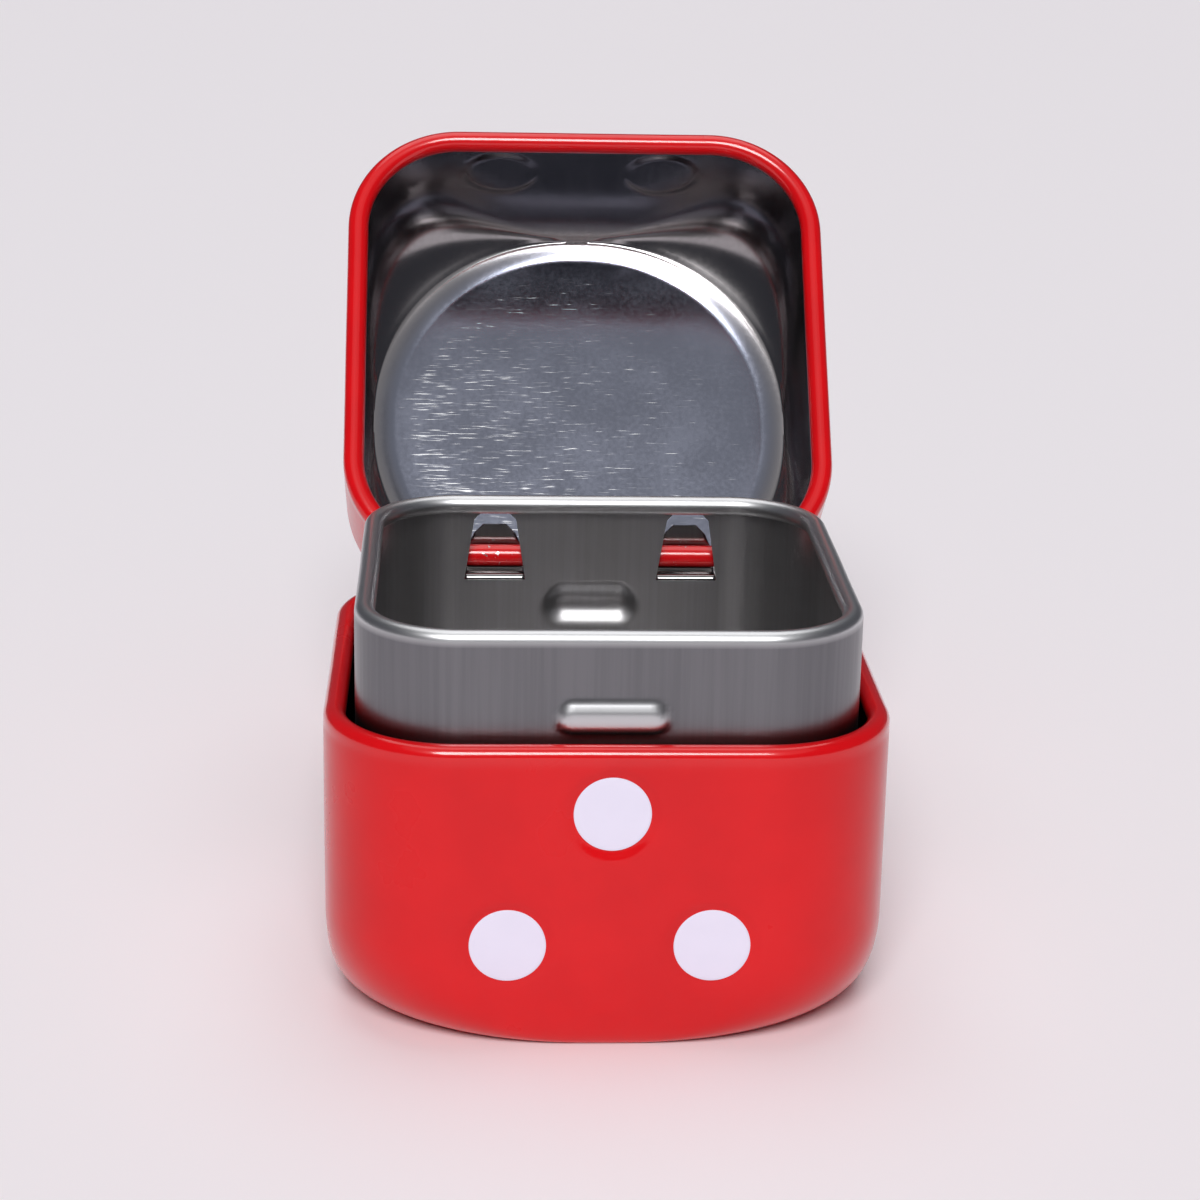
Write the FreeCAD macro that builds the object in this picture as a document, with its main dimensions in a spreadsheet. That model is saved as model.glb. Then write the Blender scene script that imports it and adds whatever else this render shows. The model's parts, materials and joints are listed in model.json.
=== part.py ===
"""Hinged die tin: a red body shell, a bare liner, two hinge lugs, a lid and enamel pips.

Frame: millimetres, +Z up, -Y the front, origin on the floor under the middle of the body.
The lid is placed open, leaning back on its hinge until it all but rests on the body's rear rim.
"""
import FreeCAD, Part
import math
import os
import re

import Sketcher

SIZES = {
    # main outline
    "width": 60.0,
    "corner_radius": 14.0,
    "sheet_thick": 0.3,
    "body_height": 34.0,
    "closed_height": 60.8,
    # domed ends: a flat disc that swells out to the rounded square wall
    "end_inset": 2.7,
    "end_blend_height": 11.5,
    "plateau_inset": 0.9,
    "plateau_slope": 1.0,
    "plateau_rise": 0.5,
    # rolled rims
    "roll_radius": 1.2,
    "roll_wrap_angle": 290.0,
    "rim_gap": 1.6,
    # liner
    "liner_gap": 0.9,
    "liner_corner_radius": 11.0,
    "liner_rise": 11.2,
    "liner_foot_radius": 6.0,
    "liner_foot_wall": 2.0,
    "liner_roll_radius": 1.1,
    "seat_gap": 0.05,
    # beads pressed out of the liner
    "bead_length": 11.4,
    "bead_depth": 0.6,
    "bead_edge_radius": 0.45,
    "front_bead_height": 2.9,
    "front_bead_rise": 2.6,
    "rear_bead_height": 4.4,
    "rear_bead_drop": 3.9,
    # hinge
    "open_angle": 129.4,
    "hinge_side": 11.5,
    "window_low_width": 7.3,
    "window_top_width": 5.0,
    "window_height": 8.4,
    "window_chamfer": 0.9,
    "lug_gap": 0.5,
    "lug_side_gap": 0.1,
    "lug_bend_radius": 0.3,
    "lug_rise": 3.4,
    "lug_tip_width": 5.0,
    "lug_tip_chamfer": 1.1,
    "slot_side_gap": 0.55,
    "slot_low": 0.3,
    "slot_end_gap": 0.7,
    # pips
    "pip_diameter": 8.0,
    "pip_fit": 0.1,
    "pip_recess": 0.15,
    "pip_thick": 0.1,
    "pip_side": 10.6,
    "pip_low_rise": 12.2,
    "pip_mid_drop": 7.2,
    "pip_lid_drop": 14.8,
    "pip_slot_web": 1.65,
    # how far a cut runs on beyond the sheet
    "cut_over": 0.3,
}

HALF = "width / 2"
STRAIGHT = "(width / 2 - corner_radius)"
END_DISC = "(width / 2 - end_inset)"
PLATEAU = f"({END_DISC} - plateau_inset - plateau_slope)"
LINER_HALF = "(width / 2 - 2 * roll_radius - liner_gap)"
LINER_STRAIGHT = f"({LINER_HALF} - liner_corner_radius)"
LINER_FLOOR = "(sheet_thick + seat_gap)"
LINER_TOP = "(body_height + liner_rise)"
HINGE_LEVEL = "(body_height + rim_gap + roll_radius)"
HINGE_BACK = "(width / 2 - roll_radius)"
LID_HEIGHT = "(closed_height - plateau_rise - body_height - rim_gap)"
LID_HINGE = f"({LID_HEIGHT} - roll_radius)"
LID_LEAN = "(180 - open_angle)"
LUG_INNER = "(roll_radius + lug_gap)"
LUG_OUTER = f"({LUG_INNER} + sheet_thick)"
LUG_WIDTH = "(window_low_width - 2 * lug_side_gap)"
SILL_LEVEL = f"({HINGE_LEVEL} - {LUG_OUTER} - lug_bend_radius)"
PIP_DENT = "(pip_diameter + pip_fit)"
PIP_LEVELS = {
    "low": "pip_low_rise",
    "mid": "(body_height - pip_mid_drop)",
    "lid": "(closed_height - pip_lid_drop)",
    "rear": f"({HINGE_LEVEL} + lug_rise + slot_end_gap + pip_slot_web + {PIP_DENT} / 2)",
}

# a domed end is sectioned at even steps of a quarter ellipse; its disc is very nearly round
DOME_STEPS = 6
DISC_SHARE = 0.05

# pips: face of the closed tin, face of the cup as drawn, steps to the side and level
BODY_PIPS = (
    ("front", "front", ((0, "mid"), (-1, "low"), (1, "low"))),
    ("rear", "rear", ((1, "low"),)),
    ("left", "left", ((0, "mid"), (1, "low"))),
    ("right", "right", ((-1, "low"), (1, "low"))),
)
# the lid is drawn mouth upward, so its front is the rear of the cup
LID_PIPS = (
    ("front", "rear", ((-1, "lid"), (1, "lid"))),
    ("rear", "front", ((-1, "rear"),)),
    ("left", "left", ((1, "lid"),)),
    ("right", "right", ((-1, "lid"), (1, "lid"))),
)

# sketch plane of each face, side of the origin, and whether its normal points inward
FACES = {
    "front": ("XZ_Plane", 1, False),
    "rear": ("XZ_Plane", -1, True),
    "left": ("YZ_Plane", -1, True),
    "right": ("YZ_Plane", 1, False),
}

# numbers that sketches give to the points of a line or arc and to their own axes
START, END, CENTRE = range(1, 4)
ACROSS_AXIS, ALONG_AXIS = range(-1, -3, -1)
ORIGIN = (ACROSS_AXIS, START)
SAME_PLACE = 0.001

doc = FreeCAD.newDocument("die_tin")
sheet = doc.addObject("Spreadsheet::Sheet", "Sizes")
for row, (alias, number) in enumerate(SIZES.items(), start=1):
    sheet.set(f"A{row}", alias)
    sheet.set(f"B{row}", str(number))
    sheet.setAlias(f"B{row}", alias)
doc.recompute()


def cell(text):
    """Expression with the name of every driving dimension turned into its cell."""
    return re.sub(r"[a-z_]+", lambda word: f"Sizes.{word[0]}" if word[0] in SIZES else word[0], text)


def value(text):
    """Number that an expression of driving dimensions gives."""
    result = sheet.evalExpression(cell(text))
    return float(getattr(result, "Value", result))


def vector(across, along):
    """Sketch point at two expressions."""
    return FreeCAD.Vector(value(across), value(along), 0)


def new_body(label):
    """Empty body whose label is the name of its sub-part."""
    body = doc.addObject("PartDesign::Body", label)
    body.Label = label
    return body


def new_sketch(body, name, plane, offset="0"):
    """Sketch on one of the body's own planes, moved along the plane's normal."""
    sketch = body.newObject("Sketcher::SketchObject", name)
    support = next(item for item in body.Origin.OriginFeatures if item.Role == plane)
    sketch.AttachmentSupport = [(support, "")]
    sketch.MapMode = "FlatFace"
    sketch.setExpression("AttachmentOffset.Base.z", cell(offset))
    return sketch


def relate(sketch, kind, *places):
    """Constraint of a sketch that carries no size."""
    sketch.addConstraint(Sketcher.Constraint(kind, *places))


def bind(sketch, kind, *places, text):
    """Constraint of a sketch whose size follows an expression of the sheet."""
    index = sketch.addConstraint(Sketcher.Constraint(kind, *places, value(text)))
    sketch.setExpression(f"Constraints[{index}]", cell(text))


def bind_point(sketch, geometry, point, across, along):
    """Hold a point of a sketch to an expression each way from the origin."""
    for kind, axis, text in (("DistanceX", ALONG_AXIS, across), ("DistanceY", ACROSS_AXIS, along)):
        if abs(value(text)) < SAME_PLACE:
            relate(sketch, "PointOnObject", geometry, point, axis)
        elif value(text) < 0:
            bind(sketch, kind, geometry, point, *ORIGIN, text=f"-({text})")
        else:
            bind(sketch, kind, *ORIGIN, geometry, point, text=text)


def arc(middle, radius, first, last):
    """Arc about a point, counter-clockwise between two angles in degrees."""
    circle = Part.Circle(middle, FreeCAD.Vector(0, 0, 1), radius)
    return Part.ArcOfCircle(circle, math.radians(first), math.radians(last))


def polygon(sketch, corners):
    """Closed polygon through corners given as pairs of expressions."""
    first = sketch.GeometryCount
    count = len(corners)
    for index in range(count):
        ends = corners[index], corners[(index + 1) % count]
        sketch.addGeometry(Part.LineSegment(*(vector(*end) for end in ends)))
    for index in range(count):
        relate(sketch, "Coincident", first + index, END, first + (index + 1) % count, START)
    for index, corner in enumerate(corners):
        bind_point(sketch, first + index, START, *corner)


def rounded_square(sketch, straight, radius):
    """Rounded square about the origin: half length of its straight sides and corner radius."""
    reach, bend = value(straight), value(radius)
    quarters = ((1, 1), (-1, 1), (-1, -1), (1, -1))
    for turn, (right, up) in enumerate(quarters):
        spin = FreeCAD.Rotation(FreeCAD.Vector(0, 0, 1), 90 * turn)
        ends = [spin.multVec(FreeCAD.Vector(reach + bend, side * reach, 0)) for side in (-1, 1)]
        sketch.addGeometry(Part.LineSegment(*ends))
        middle = FreeCAD.Vector(right * reach, up * reach, 0)
        sketch.addGeometry(arc(middle, bend, 90 * turn, 90 * (turn + 1)))
    count = sketch.GeometryCount
    for index in range(count):
        relate(sketch, "Tangent", index, END, (index + 1) % count, START)
    corners = range(1, count, 2)
    for corner, (right, up) in zip(corners, quarters):
        bind_point(sketch, corner, CENTRE, f"{right} * {straight}", f"{up} * {straight}")
    for corner in corners[1:]:
        relate(sketch, "Equal", corners[0], corner)
    bind(sketch, "Radius", corners[0], text=radius)


def oblong(sketch, length, height, level):
    """Flat-sided oblong with round ends, lying across the sketch at one level."""
    bend = f"({height}) / 2"
    reach = f"(({length}) - ({height})) / 2"
    right, left = vector(reach, level), vector(f"-({reach})", level)
    lift = FreeCAD.Vector(0, value(bend), 0)
    sketch.addGeometry(Part.LineSegment(left - lift, right - lift))
    sketch.addGeometry(arc(right, value(bend), -90, 90))
    sketch.addGeometry(Part.LineSegment(right + lift, left + lift))
    sketch.addGeometry(arc(left, value(bend), 90, 270))
    count = sketch.GeometryCount
    for index in range(count):
        relate(sketch, "Tangent", index, END, (index + 1) % count, START)
    bind_point(sketch, 1, CENTRE, reach, level)
    bind_point(sketch, 3, CENTRE, f"-({reach})", level)
    relate(sketch, "Equal", 1, 3)
    bind(sketch, "Radius", 1, text=bend)


def circles(sketch, diameter, spots):
    """Circles of one diameter about spots given as pairs of expressions."""
    for index, spot in enumerate(spots):
        sketch.addGeometry(Part.Circle(vector(*spot), FreeCAD.Vector(0, 0, 1), value(diameter) / 2))
        bind_point(sketch, index, CENTRE, *spot)
        bind(sketch, "Diameter", index, text=diameter)


def loft(body, kind, name, sections):
    """Loft through sketches, added to the body or taken from it."""
    feature = body.newObject(f"PartDesign::{kind}Loft", name)
    feature.Profile = sections[0]
    feature.Sections = sections[1:]
    doc.recompute()


def prism(body, kind, name, sketch, length, against=False, middle=False):
    """Pad or pocket of a sketch; `against` turns it round from its usual side."""
    feature = body.newObject(f"PartDesign::{kind}", name)
    feature.Profile = sketch
    feature.setExpression("Length", cell(length))
    feature.Reversed = against
    feature.Midplane = middle
    doc.recompute()
    return feature


def spin(body, kind, name, sketch):
    """Full turn of a sketch about the upright axis, added or taken away."""
    feature = body.newObject(f"PartDesign::{kind}", name)
    feature.Profile = sketch
    feature.ReferenceAxis = (sketch, ["V_Axis"])
    doc.recompute()


def names_in_plane(feature, kind, axis, place):
    """Names of a feature's edges or faces that lie in one plane across the Y or Z axis."""
    names = []
    for index, item in enumerate(getattr(feature.Shape, f"{kind}s"), start=1):
        ends = (getattr(item.BoundBox, f"{axis}{end}") for end in ("Min", "Max"))
        if max(abs(end - place) for end in ends) < SAME_PLACE:
            names.append(f"{kind}{index}")
    return names


def dome_sections(body, name, inset):
    """Sketches of a domed end, from nearly a circle at the disc to the rounded square wall."""
    sections = []
    for step in range(DOME_STEPS + 1):
        turn = math.pi / 2 * step / DOME_STEPS
        spread_share, rise_share = max(math.sin(turn), DISC_SHARE), 1 - math.cos(turn)
        level = f"{inset} + (end_blend_height - {inset}) * {rise_share:.6f}"
        sketch = new_sketch(body, f"{name}_{step}", "XY_Plane", level)
        straight = f"{STRAIGHT} * {spread_share:.6f}"
        half = f"{END_DISC} + end_inset * {spread_share:.6f}"
        rounded_square(sketch, straight, f"{half} - {straight} - {inset}")
        sections.append(sketch)
    return sections


def rolled_wall(body, name, half, straight, foot, top, roll):
    """Sheet wall from its foot to a rim rolled inward, carried round a rounded square."""
    level = f"({top} - {roll})"
    middle = f"({half} - {roll})"
    path = new_sketch(body, f"{name}_path", "XY_Plane", level)
    rounded_square(path, straight, f"{half} - {straight}")
    profile = new_sketch(body, f"{name}_profile", "XZ_Plane", straight)
    radii = roll, f"({roll} - sheet_thick)"
    centre = vector(middle, level)
    drop = FreeCAD.Vector(0, value(foot) - value(level), 0)
    outer, inner = (arc(centre, value(radius), 0, value("roll_wrap_angle")) for radius in radii)
    for piece in (
        Part.LineSegment(outer.StartPoint + drop, outer.StartPoint),
        outer,
        Part.LineSegment(outer.EndPoint, inner.EndPoint),
        inner,
        Part.LineSegment(inner.StartPoint, inner.StartPoint + drop),
        Part.LineSegment(inner.StartPoint + drop, outer.StartPoint + drop),
    ):
        profile.addGeometry(piece)
    wall_out, roll_out, tip, roll_in, wall_in, base = range(profile.GeometryCount)
    for joint in (
        (wall_out, END, roll_out, START),
        (roll_out, END, tip, START),
        (tip, END, roll_in, END),
        (roll_in, START, wall_in, START),
        (wall_in, END, base, START),
        (base, END, wall_out, START),
        (roll_out, CENTRE, roll_in, CENTRE),
    ):
        relate(profile, "Coincident", *joint)
    for geometry, radius in zip((roll_out, roll_in), radii):
        relate(profile, "Horizontal", geometry, CENTRE, geometry, START)
        bind(profile, "Radius", geometry, text=radius)
    relate(profile, "Vertical", wall_out)
    relate(profile, "Vertical", wall_in)
    relate(profile, "Horizontal", base)
    relate(profile, "PointOnObject", roll_out, CENTRE, tip)
    bind_point(profile, roll_out, CENTRE, middle, level)
    bind(profile, "DistanceY", base, START, wall_in, START, text=f"{level} - {foot}")
    wrap = math.radians(value("roll_wrap_angle"))
    index = profile.addConstraint(Sketcher.Constraint("Angle", roll_out, wrap))
    profile.setExpression(f"Constraints[{index}]", cell("roll_wrap_angle * 1 deg"))
    pipe = body.newObject("PartDesign::AdditivePipe", name)
    pipe.Profile = profile
    pipe.Spine = path
    doc.recompute()


def drawn_cup(body, height):
    """Drawn sheet cup, mouth upward: domed floor, upright wall and rolled rim."""
    loft(body, "Additive", "dome", dome_sections(body, "dome_out", "0"))
    loft(body, "Subtractive", "hollow", dome_sections(body, "dome_in", "sheet_thick"))
    rolled_wall(body, "wall", HALF, STRAIGHT, "end_blend_height", height, "roll_radius")


def raised_disc(body):
    """Round plateau pressed out of a cup's floor, with a sloping edge."""
    for kind, level in (("Revolution", "0"), ("Groove", "sheet_thick")):
        sketch = new_sketch(body, f"disc_{kind.lower()}", "XZ_Plane")
        low = f"{level} - plateau_rise"
        edge = f"{PLATEAU} + plateau_slope"
        polygon(sketch, (("0", low), (PLATEAU, low), (edge, level), ("0", level)))
        spin(body, kind, f"disc_{kind.lower()}_turn", sketch)


def pip_spots(pips, ground):
    """Sketch places of a face's pips; a cup drawn mouth upward counts down from its ground."""
    spots = []
    for step, row in pips:
        level = PIP_LEVELS[row]
        spots.append((f"{step} * pip_side", f"{ground} - {level}" if ground else level))
    return spots


def press_pips(body, faces, ground=""):
    """Round dents for the pips of every face, standing out again inside the wall."""
    for face, drawn, pips in faces:
        plane, sign, against = FACES[drawn]
        spots = pip_spots(pips, ground)
        inside = new_sketch(body, f"boss_{face}", plane, f"{sign} * ({HALF} - pip_recess)")
        circles(inside, PIP_DENT, spots)
        prism(body, "Pad", f"boss_{face}_pad", inside, "sheet_thick", not against)
        outside = new_sketch(body, f"dent_{face}", plane, f"{sign} * ({HALF} + cut_over)")
        circles(outside, PIP_DENT, spots)
        prism(body, "Pocket", f"dent_{face}_pocket", outside, "pip_recess + cut_over", against)


def make_pips(owner, faces, ground=""):
    """One enamel disc for every pip, lying on the floor of its recess."""
    discs = []
    for face, drawn, pips in faces:
        plane, sign, against = FACES[drawn]
        for number, spot in enumerate(pip_spots(pips, ground), start=1):
            body = new_body(f"{owner}_pip_{face}_{number}")
            sketch = new_sketch(body, "outline", plane, f"{sign} * ({HALF} - pip_recess)")
            circles(sketch, "pip_diameter", [spot])
            prism(body, "Pad", "disc", sketch, "pip_thick", against)
            discs.append(body)
    return discs


def make_body_shell():
    """Red outer shell that stands on the floor."""
    body = new_body("body_shell")
    drawn_cup(body, "body_height")
    press_pips(body, BODY_PIPS)
    return body


def make_lid_shell(ground):
    """Red lid, drawn mouth upward like the body, with slots beside its hinge roll."""
    body = new_body("lid_shell")
    drawn_cup(body, LID_HEIGHT)
    raised_disc(body)
    sketch = new_sketch(body, "slots", "XZ_Plane", f"{HALF} + cut_over")
    low, top = f"{LID_HINGE} - lug_rise - slot_end_gap", f"{LID_HINGE} - slot_low"
    reach = f"({LUG_WIDTH} / 2 + slot_side_gap)"
    for side in (-1, 1):
        left, right = (f"{side} * hinge_side {sign} {reach}" for sign in "-+")
        polygon(sketch, ((left, low), (right, low), (right, top), (left, top)))
    prism(body, "Pocket", "lug_slots", sketch, "sheet_thick + 2 * cut_over")
    press_pips(body, LID_PIPS, ground)
    return body


def add_bead(body, drawn, level, height):
    """Oblong bead pressed outward through one wall of the liner."""
    plane, sign, against = FACES[drawn]
    outside = new_sketch(body, f"bead_{drawn}", plane, f"{sign} * {LINER_HALF}")
    oblong(outside, "bead_length", height, level)
    pad = prism(body, "Pad", f"bead_{drawn}_pad", outside, "bead_depth", against)
    crest = value(f"-({sign}) * ({LINER_HALF} + bead_depth)")
    rim = body.newObject("PartDesign::Fillet", f"bead_{drawn}_rim")
    rim.Base = (pad, names_in_plane(pad, "Edge", "Y", crest))
    rim.setExpression("Radius", cell("bead_edge_radius"))
    doc.recompute()
    inside = new_sketch(body, f"dent_{drawn}", plane, f"{sign} * ({LINER_HALF} - sheet_thick)")
    oblong(inside, "bead_length - 2 * sheet_thick", f"{height} - 2 * sheet_thick", level)
    prism(body, "Pocket", f"dent_{drawn}_pocket", inside, "bead_depth", not against)


def hinge_outline(middle, low, low_width, top, top_width, chamfer):
    """Upright tongue shape: wide at its foot, narrower above, with its top corners cut off."""
    return (
        (f"{middle} - {low_width} / 2", low),
        (f"{middle} + {low_width} / 2", low),
        (f"{middle} + {top_width} / 2", f"{top} - {chamfer}"),
        (f"{middle} + {top_width} / 2 - {chamfer}", top),
        (f"{middle} - {top_width} / 2 + {chamfer}", top),
        (f"{middle} - {top_width} / 2", f"{top} - {chamfer}"),
    )


def make_liner():
    """Bare liner cup: rounded foot, rolled rim, two beads and two hinge windows."""
    body = new_body("liner_cup")
    outline = new_sketch(body, "outline", "XY_Plane", LINER_FLOOR)
    rounded_square(outline, LINER_STRAIGHT, "liner_corner_radius")
    block = prism(body, "Pad", "block", outline, "liner_foot_radius + liner_foot_wall")
    foot = body.newObject("PartDesign::Fillet", "foot")
    foot.Base = (block, names_in_plane(block, "Edge", "Z", value(LINER_FLOOR)))
    foot.setExpression("Radius", cell("liner_foot_radius"))
    doc.recompute()
    wall_foot = f"({LINER_FLOOR} + liner_foot_radius + liner_foot_wall)"
    pan = body.newObject("PartDesign::Thickness", "pan")
    pan.Base = (foot, names_in_plane(foot, "Face", "Z", value(wall_foot)))
    pan.setExpression("Value", cell("sheet_thick"))
    pan.Reversed = True
    doc.recompute()
    rolled_wall(body, "wall", LINER_HALF, LINER_STRAIGHT, wall_foot, LINER_TOP, "liner_roll_radius")
    add_bead(body, "front", "body_height + front_bead_rise", "front_bead_height")
    add_bead(body, "rear", f"{SILL_LEVEL} - rear_bead_drop", "rear_bead_height")
    windows = new_sketch(body, "windows", "XZ_Plane", f"-({LINER_HALF} + cut_over)")
    window_top = f"({SILL_LEVEL} + window_height)"
    for side in (-1, 1):
        polygon(windows, hinge_outline(f"{side} * hinge_side", SILL_LEVEL, "window_low_width",
                                       window_top, "window_top_width", "window_chamfer"))
    prism(body, "Pocket", "hinge_windows", windows, "sheet_thick + 2 * cut_over", against=True)
    return body


def make_lug(name, side):
    """Hinge lug: bends back off the window's sill, hooks under the lid's roll and stands up."""
    body = new_body(name)
    middle = f"{side} * hinge_side"
    hook = new_sketch(body, "hook", "YZ_Plane", middle)
    bend_spot = f"{LINER_HALF} + lug_bend_radius", SILL_LEVEL
    turn_spot = HINGE_BACK, HINGE_LEVEL
    bend_radii = "lug_bend_radius", "(lug_bend_radius + sheet_thick)"
    turn_radii = LUG_OUTER, LUG_INNER
    bend_in, bend_out = (arc(vector(*bend_spot), value(radius), 90, 180) for radius in bend_radii)
    turn_out, turn_in = (arc(vector(*turn_spot), value(radius), -90, 0) for radius in turn_radii)
    for piece in (
        bend_in,
        Part.LineSegment(bend_in.StartPoint, turn_out.StartPoint),
        turn_out,
        Part.LineSegment(turn_out.EndPoint, turn_in.EndPoint),
        turn_in,
        Part.LineSegment(turn_in.StartPoint, bend_out.StartPoint),
        bend_out,
        Part.LineSegment(bend_out.EndPoint, bend_in.EndPoint),
    ):
        hook.addGeometry(piece)
    inner_bend, under, outer_turn, rise, inner_turn, over, outer_bend, root = range(hook.GeometryCount)
    for joint in (
        (inner_bend, START, under, START),
        (under, END, outer_turn, START),
        (outer_turn, END, rise, START),
        (rise, END, inner_turn, END),
        (inner_turn, START, over, START),
        (over, END, outer_bend, START),
        (outer_bend, END, root, START),
        (root, END, inner_bend, END),
        (inner_bend, CENTRE, outer_bend, CENTRE),
        (outer_turn, CENTRE, inner_turn, CENTRE),
    ):
        relate(hook, "Coincident", *joint)
    for bow, radius in zip((inner_bend, outer_bend, outer_turn, inner_turn), bend_radii + turn_radii):
        bind(hook, "Radius", bow, text=radius)
        relate(hook, "Horizontal", bow, CENTRE, bow, END)
        relate(hook, "Vertical", bow, CENTRE, bow, START)
    bind_point(hook, inner_bend, CENTRE, *bend_spot)
    bind_point(hook, outer_turn, CENTRE, *turn_spot)
    prism(body, "Pad", "hook_pad", hook, LUG_WIDTH, middle=True)
    tongue = new_sketch(body, "tongue", "XZ_Plane", f"-({HINGE_BACK} + {LUG_INNER})")
    polygon(tongue, hinge_outline(middle, HINGE_LEVEL, LUG_WIDTH, f"({HINGE_LEVEL} + lug_rise)",
                                  "lug_tip_width", "lug_tip_chamfer"))
    prism(body, "Pad", "tongue_pad", tongue, "sheet_thick", against=True)
    return body


def open_lid(body):
    """Swing a piece drawn with the lid about the hinge, into the open lid's place."""
    body.Placement = FreeCAD.Placement(
        FreeCAD.Vector(0, 0, 0), FreeCAD.Rotation(FreeCAD.Vector(1, 0, 0), value(LID_LEAN))
    )
    swing = f"cos({LID_LEAN} * 1 deg)", f"sin({LID_LEAN} * 1 deg)"
    depth = f"{HINGE_BACK} + {HINGE_BACK} * {swing[0]} + {LID_HINGE} * {swing[1]}"
    level = f"{HINGE_LEVEL} + {HINGE_BACK} * {swing[1]} - {LID_HINGE} * {swing[0]}"
    body.setExpression("Placement.Rotation.Angle", cell(f"{LID_LEAN} * 1 deg"))
    body.setExpression("Placement.Base.y", cell(depth))
    body.setExpression("Placement.Base.z", cell(level))


def main():
    """Build every sub-part, check it and write it out."""
    ground = "closed_height - plateau_rise"
    parts = [
        make_body_shell(),
        make_liner(),
        make_lug("hinge_lug_left", -1),
        make_lug("hinge_lug_right", 1),
    ]
    parts += make_pips("body", BODY_PIPS)
    lid_parts = [make_lid_shell(ground)] + make_pips("lid", LID_PIPS, ground)
    for body in lid_parts:
        open_lid(body)
    parts += lid_parts
    doc.recompute()
    broken = [item.Name for item in doc.Objects if {"Invalid", "Error"} & set(item.State)]
    if broken:
        raise RuntimeError(f"objects with errors: {broken}")
    os.makedirs("parts", exist_ok=True)
    for body in parts:
        shape = body.Shape
        if shape.isNull() or not shape.isValid() or len(shape.Solids) != 1:
            raise RuntimeError(f"{body.Label}: not one valid solid")
        shape.exportStep(os.path.join("parts", f"{body.Label}.step"))
        print(f"{body.Label}: {shape.Volume:.2f} mm3, {shape.BoundBox}")


main()
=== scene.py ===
"""Looks of a hinged die tin: lacquered body and lid, bare liner, hinge lugs and enamel pips.

Metres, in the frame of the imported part: +Z up, -Y the front, the lid leaning back open.
"""
import json
import logging
import math
from collections.abc import Callable
from dataclasses import dataclass, field
from enum import Enum

import bpy
import numpy as np
from mathutils import Matrix, Vector


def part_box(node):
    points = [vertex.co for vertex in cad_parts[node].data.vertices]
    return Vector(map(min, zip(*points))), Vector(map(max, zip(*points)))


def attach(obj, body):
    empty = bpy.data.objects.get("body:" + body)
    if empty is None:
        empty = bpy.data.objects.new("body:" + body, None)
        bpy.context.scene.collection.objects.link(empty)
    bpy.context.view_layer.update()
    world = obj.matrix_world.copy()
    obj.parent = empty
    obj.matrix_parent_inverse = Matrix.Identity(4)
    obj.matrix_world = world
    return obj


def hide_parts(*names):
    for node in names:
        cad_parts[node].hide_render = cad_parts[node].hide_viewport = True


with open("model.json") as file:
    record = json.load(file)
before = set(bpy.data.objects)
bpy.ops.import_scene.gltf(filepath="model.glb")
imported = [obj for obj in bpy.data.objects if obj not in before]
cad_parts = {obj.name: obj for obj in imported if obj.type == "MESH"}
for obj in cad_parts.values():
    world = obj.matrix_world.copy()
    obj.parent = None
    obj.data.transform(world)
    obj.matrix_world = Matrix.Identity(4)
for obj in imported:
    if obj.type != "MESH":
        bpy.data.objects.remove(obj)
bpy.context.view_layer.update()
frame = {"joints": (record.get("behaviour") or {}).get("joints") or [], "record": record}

LOG = logging.getLogger("die_tin")
Array = np.ndarray
Triple = tuple[float, float, float]
Shape = Callable[[Array, Array], Array]
FULL_TURN = 2 * math.pi
SHARP_ANGLE = math.radians(50)
WAVER_GAIN = 1.6
# Shares of a cup's half width beyond which a point belongs to an upright and to a swelling wall.
ON_WALL = 0.9
ON_SWELL = 0.8


class Coat(Enum):
    """Which finish a face of a cup shows."""

    OUTSIDE = 0
    BARE = 1


class Wall(Enum):
    """Upright wall of a cup, by the direction that it faces."""

    FRONT = (0, -1)
    REAR = (0, 1)
    LEFT = (-1, 0)
    RIGHT = (1, 0)

    @property
    def axis(self) -> int:
        """Axis that runs along the wall, 0 for X and 1 for Y."""
        return 0 if self.value[0] == 0 else 1

    def depth(self, points: Array) -> Array:
        """Distance of points from the cup's axis, towards the wall."""
        return points[..., 0] * self.value[0] + points[..., 1] * self.value[1]

    @classmethod
    def facing(cls, point: Array) -> "Wall":
        """Wall that a point lies nearest to."""
        return max(cls, key=lambda wall: float(wall.depth(point)))


def smooth(share: Array) -> Array:
    """Ease from 0 to 1: three times the square of the held share less twice its cube."""
    held = np.clip(share, 0.0, 1.0)
    return held * held * (3.0 - 2.0 * held)


def waver(turn: Array, counts: tuple[int, ...], seed: float) -> Array:
    """Uneven wave round a cup, between about -1 and 1.

    It is a gain times the mean of sines of whole counts per turn, each with a phase from the seed.

    Args:
        turn: angles round the axis.
        counts: waves per turn of each sine.
        seed: number that sets the phases.

    Returns:
        One height for each angle.
    """
    waves = [np.sin(count * turn + seed * (order + 1) ** 2) for order, count in enumerate(counts)]
    return WAVER_GAIN * np.mean(waves, axis=0)


def reach(turn: Array, straight: Array, radius: Array) -> Array:
    """Distance from the axis to the edge of a rounded square, along given directions.

    Each direction is folded into one eighth of a turn. There the edge is the flat side, half the
    width over the cosine, up to the flat's end, and beyond it the far root of the corner's circle.

    Args:
        turn: directions as angles from +X.
        straight: half length of the flat sides.
        radius: radius of the corners.

    Returns:
        Distances, in the shape that the inputs broadcast to.
    """
    folded = np.abs((turn + math.pi / 4) % (math.pi / 2) - math.pi / 4)
    cosine, sine = np.cos(folded), np.sin(folded)
    flat = (straight + radius) / cosine
    root = np.sqrt(np.maximum(radius**2 - (straight * (cosine - sine)) ** 2, 0.0))
    return np.where(flat * sine <= straight, flat, straight * (cosine + sine) + root)


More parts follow.
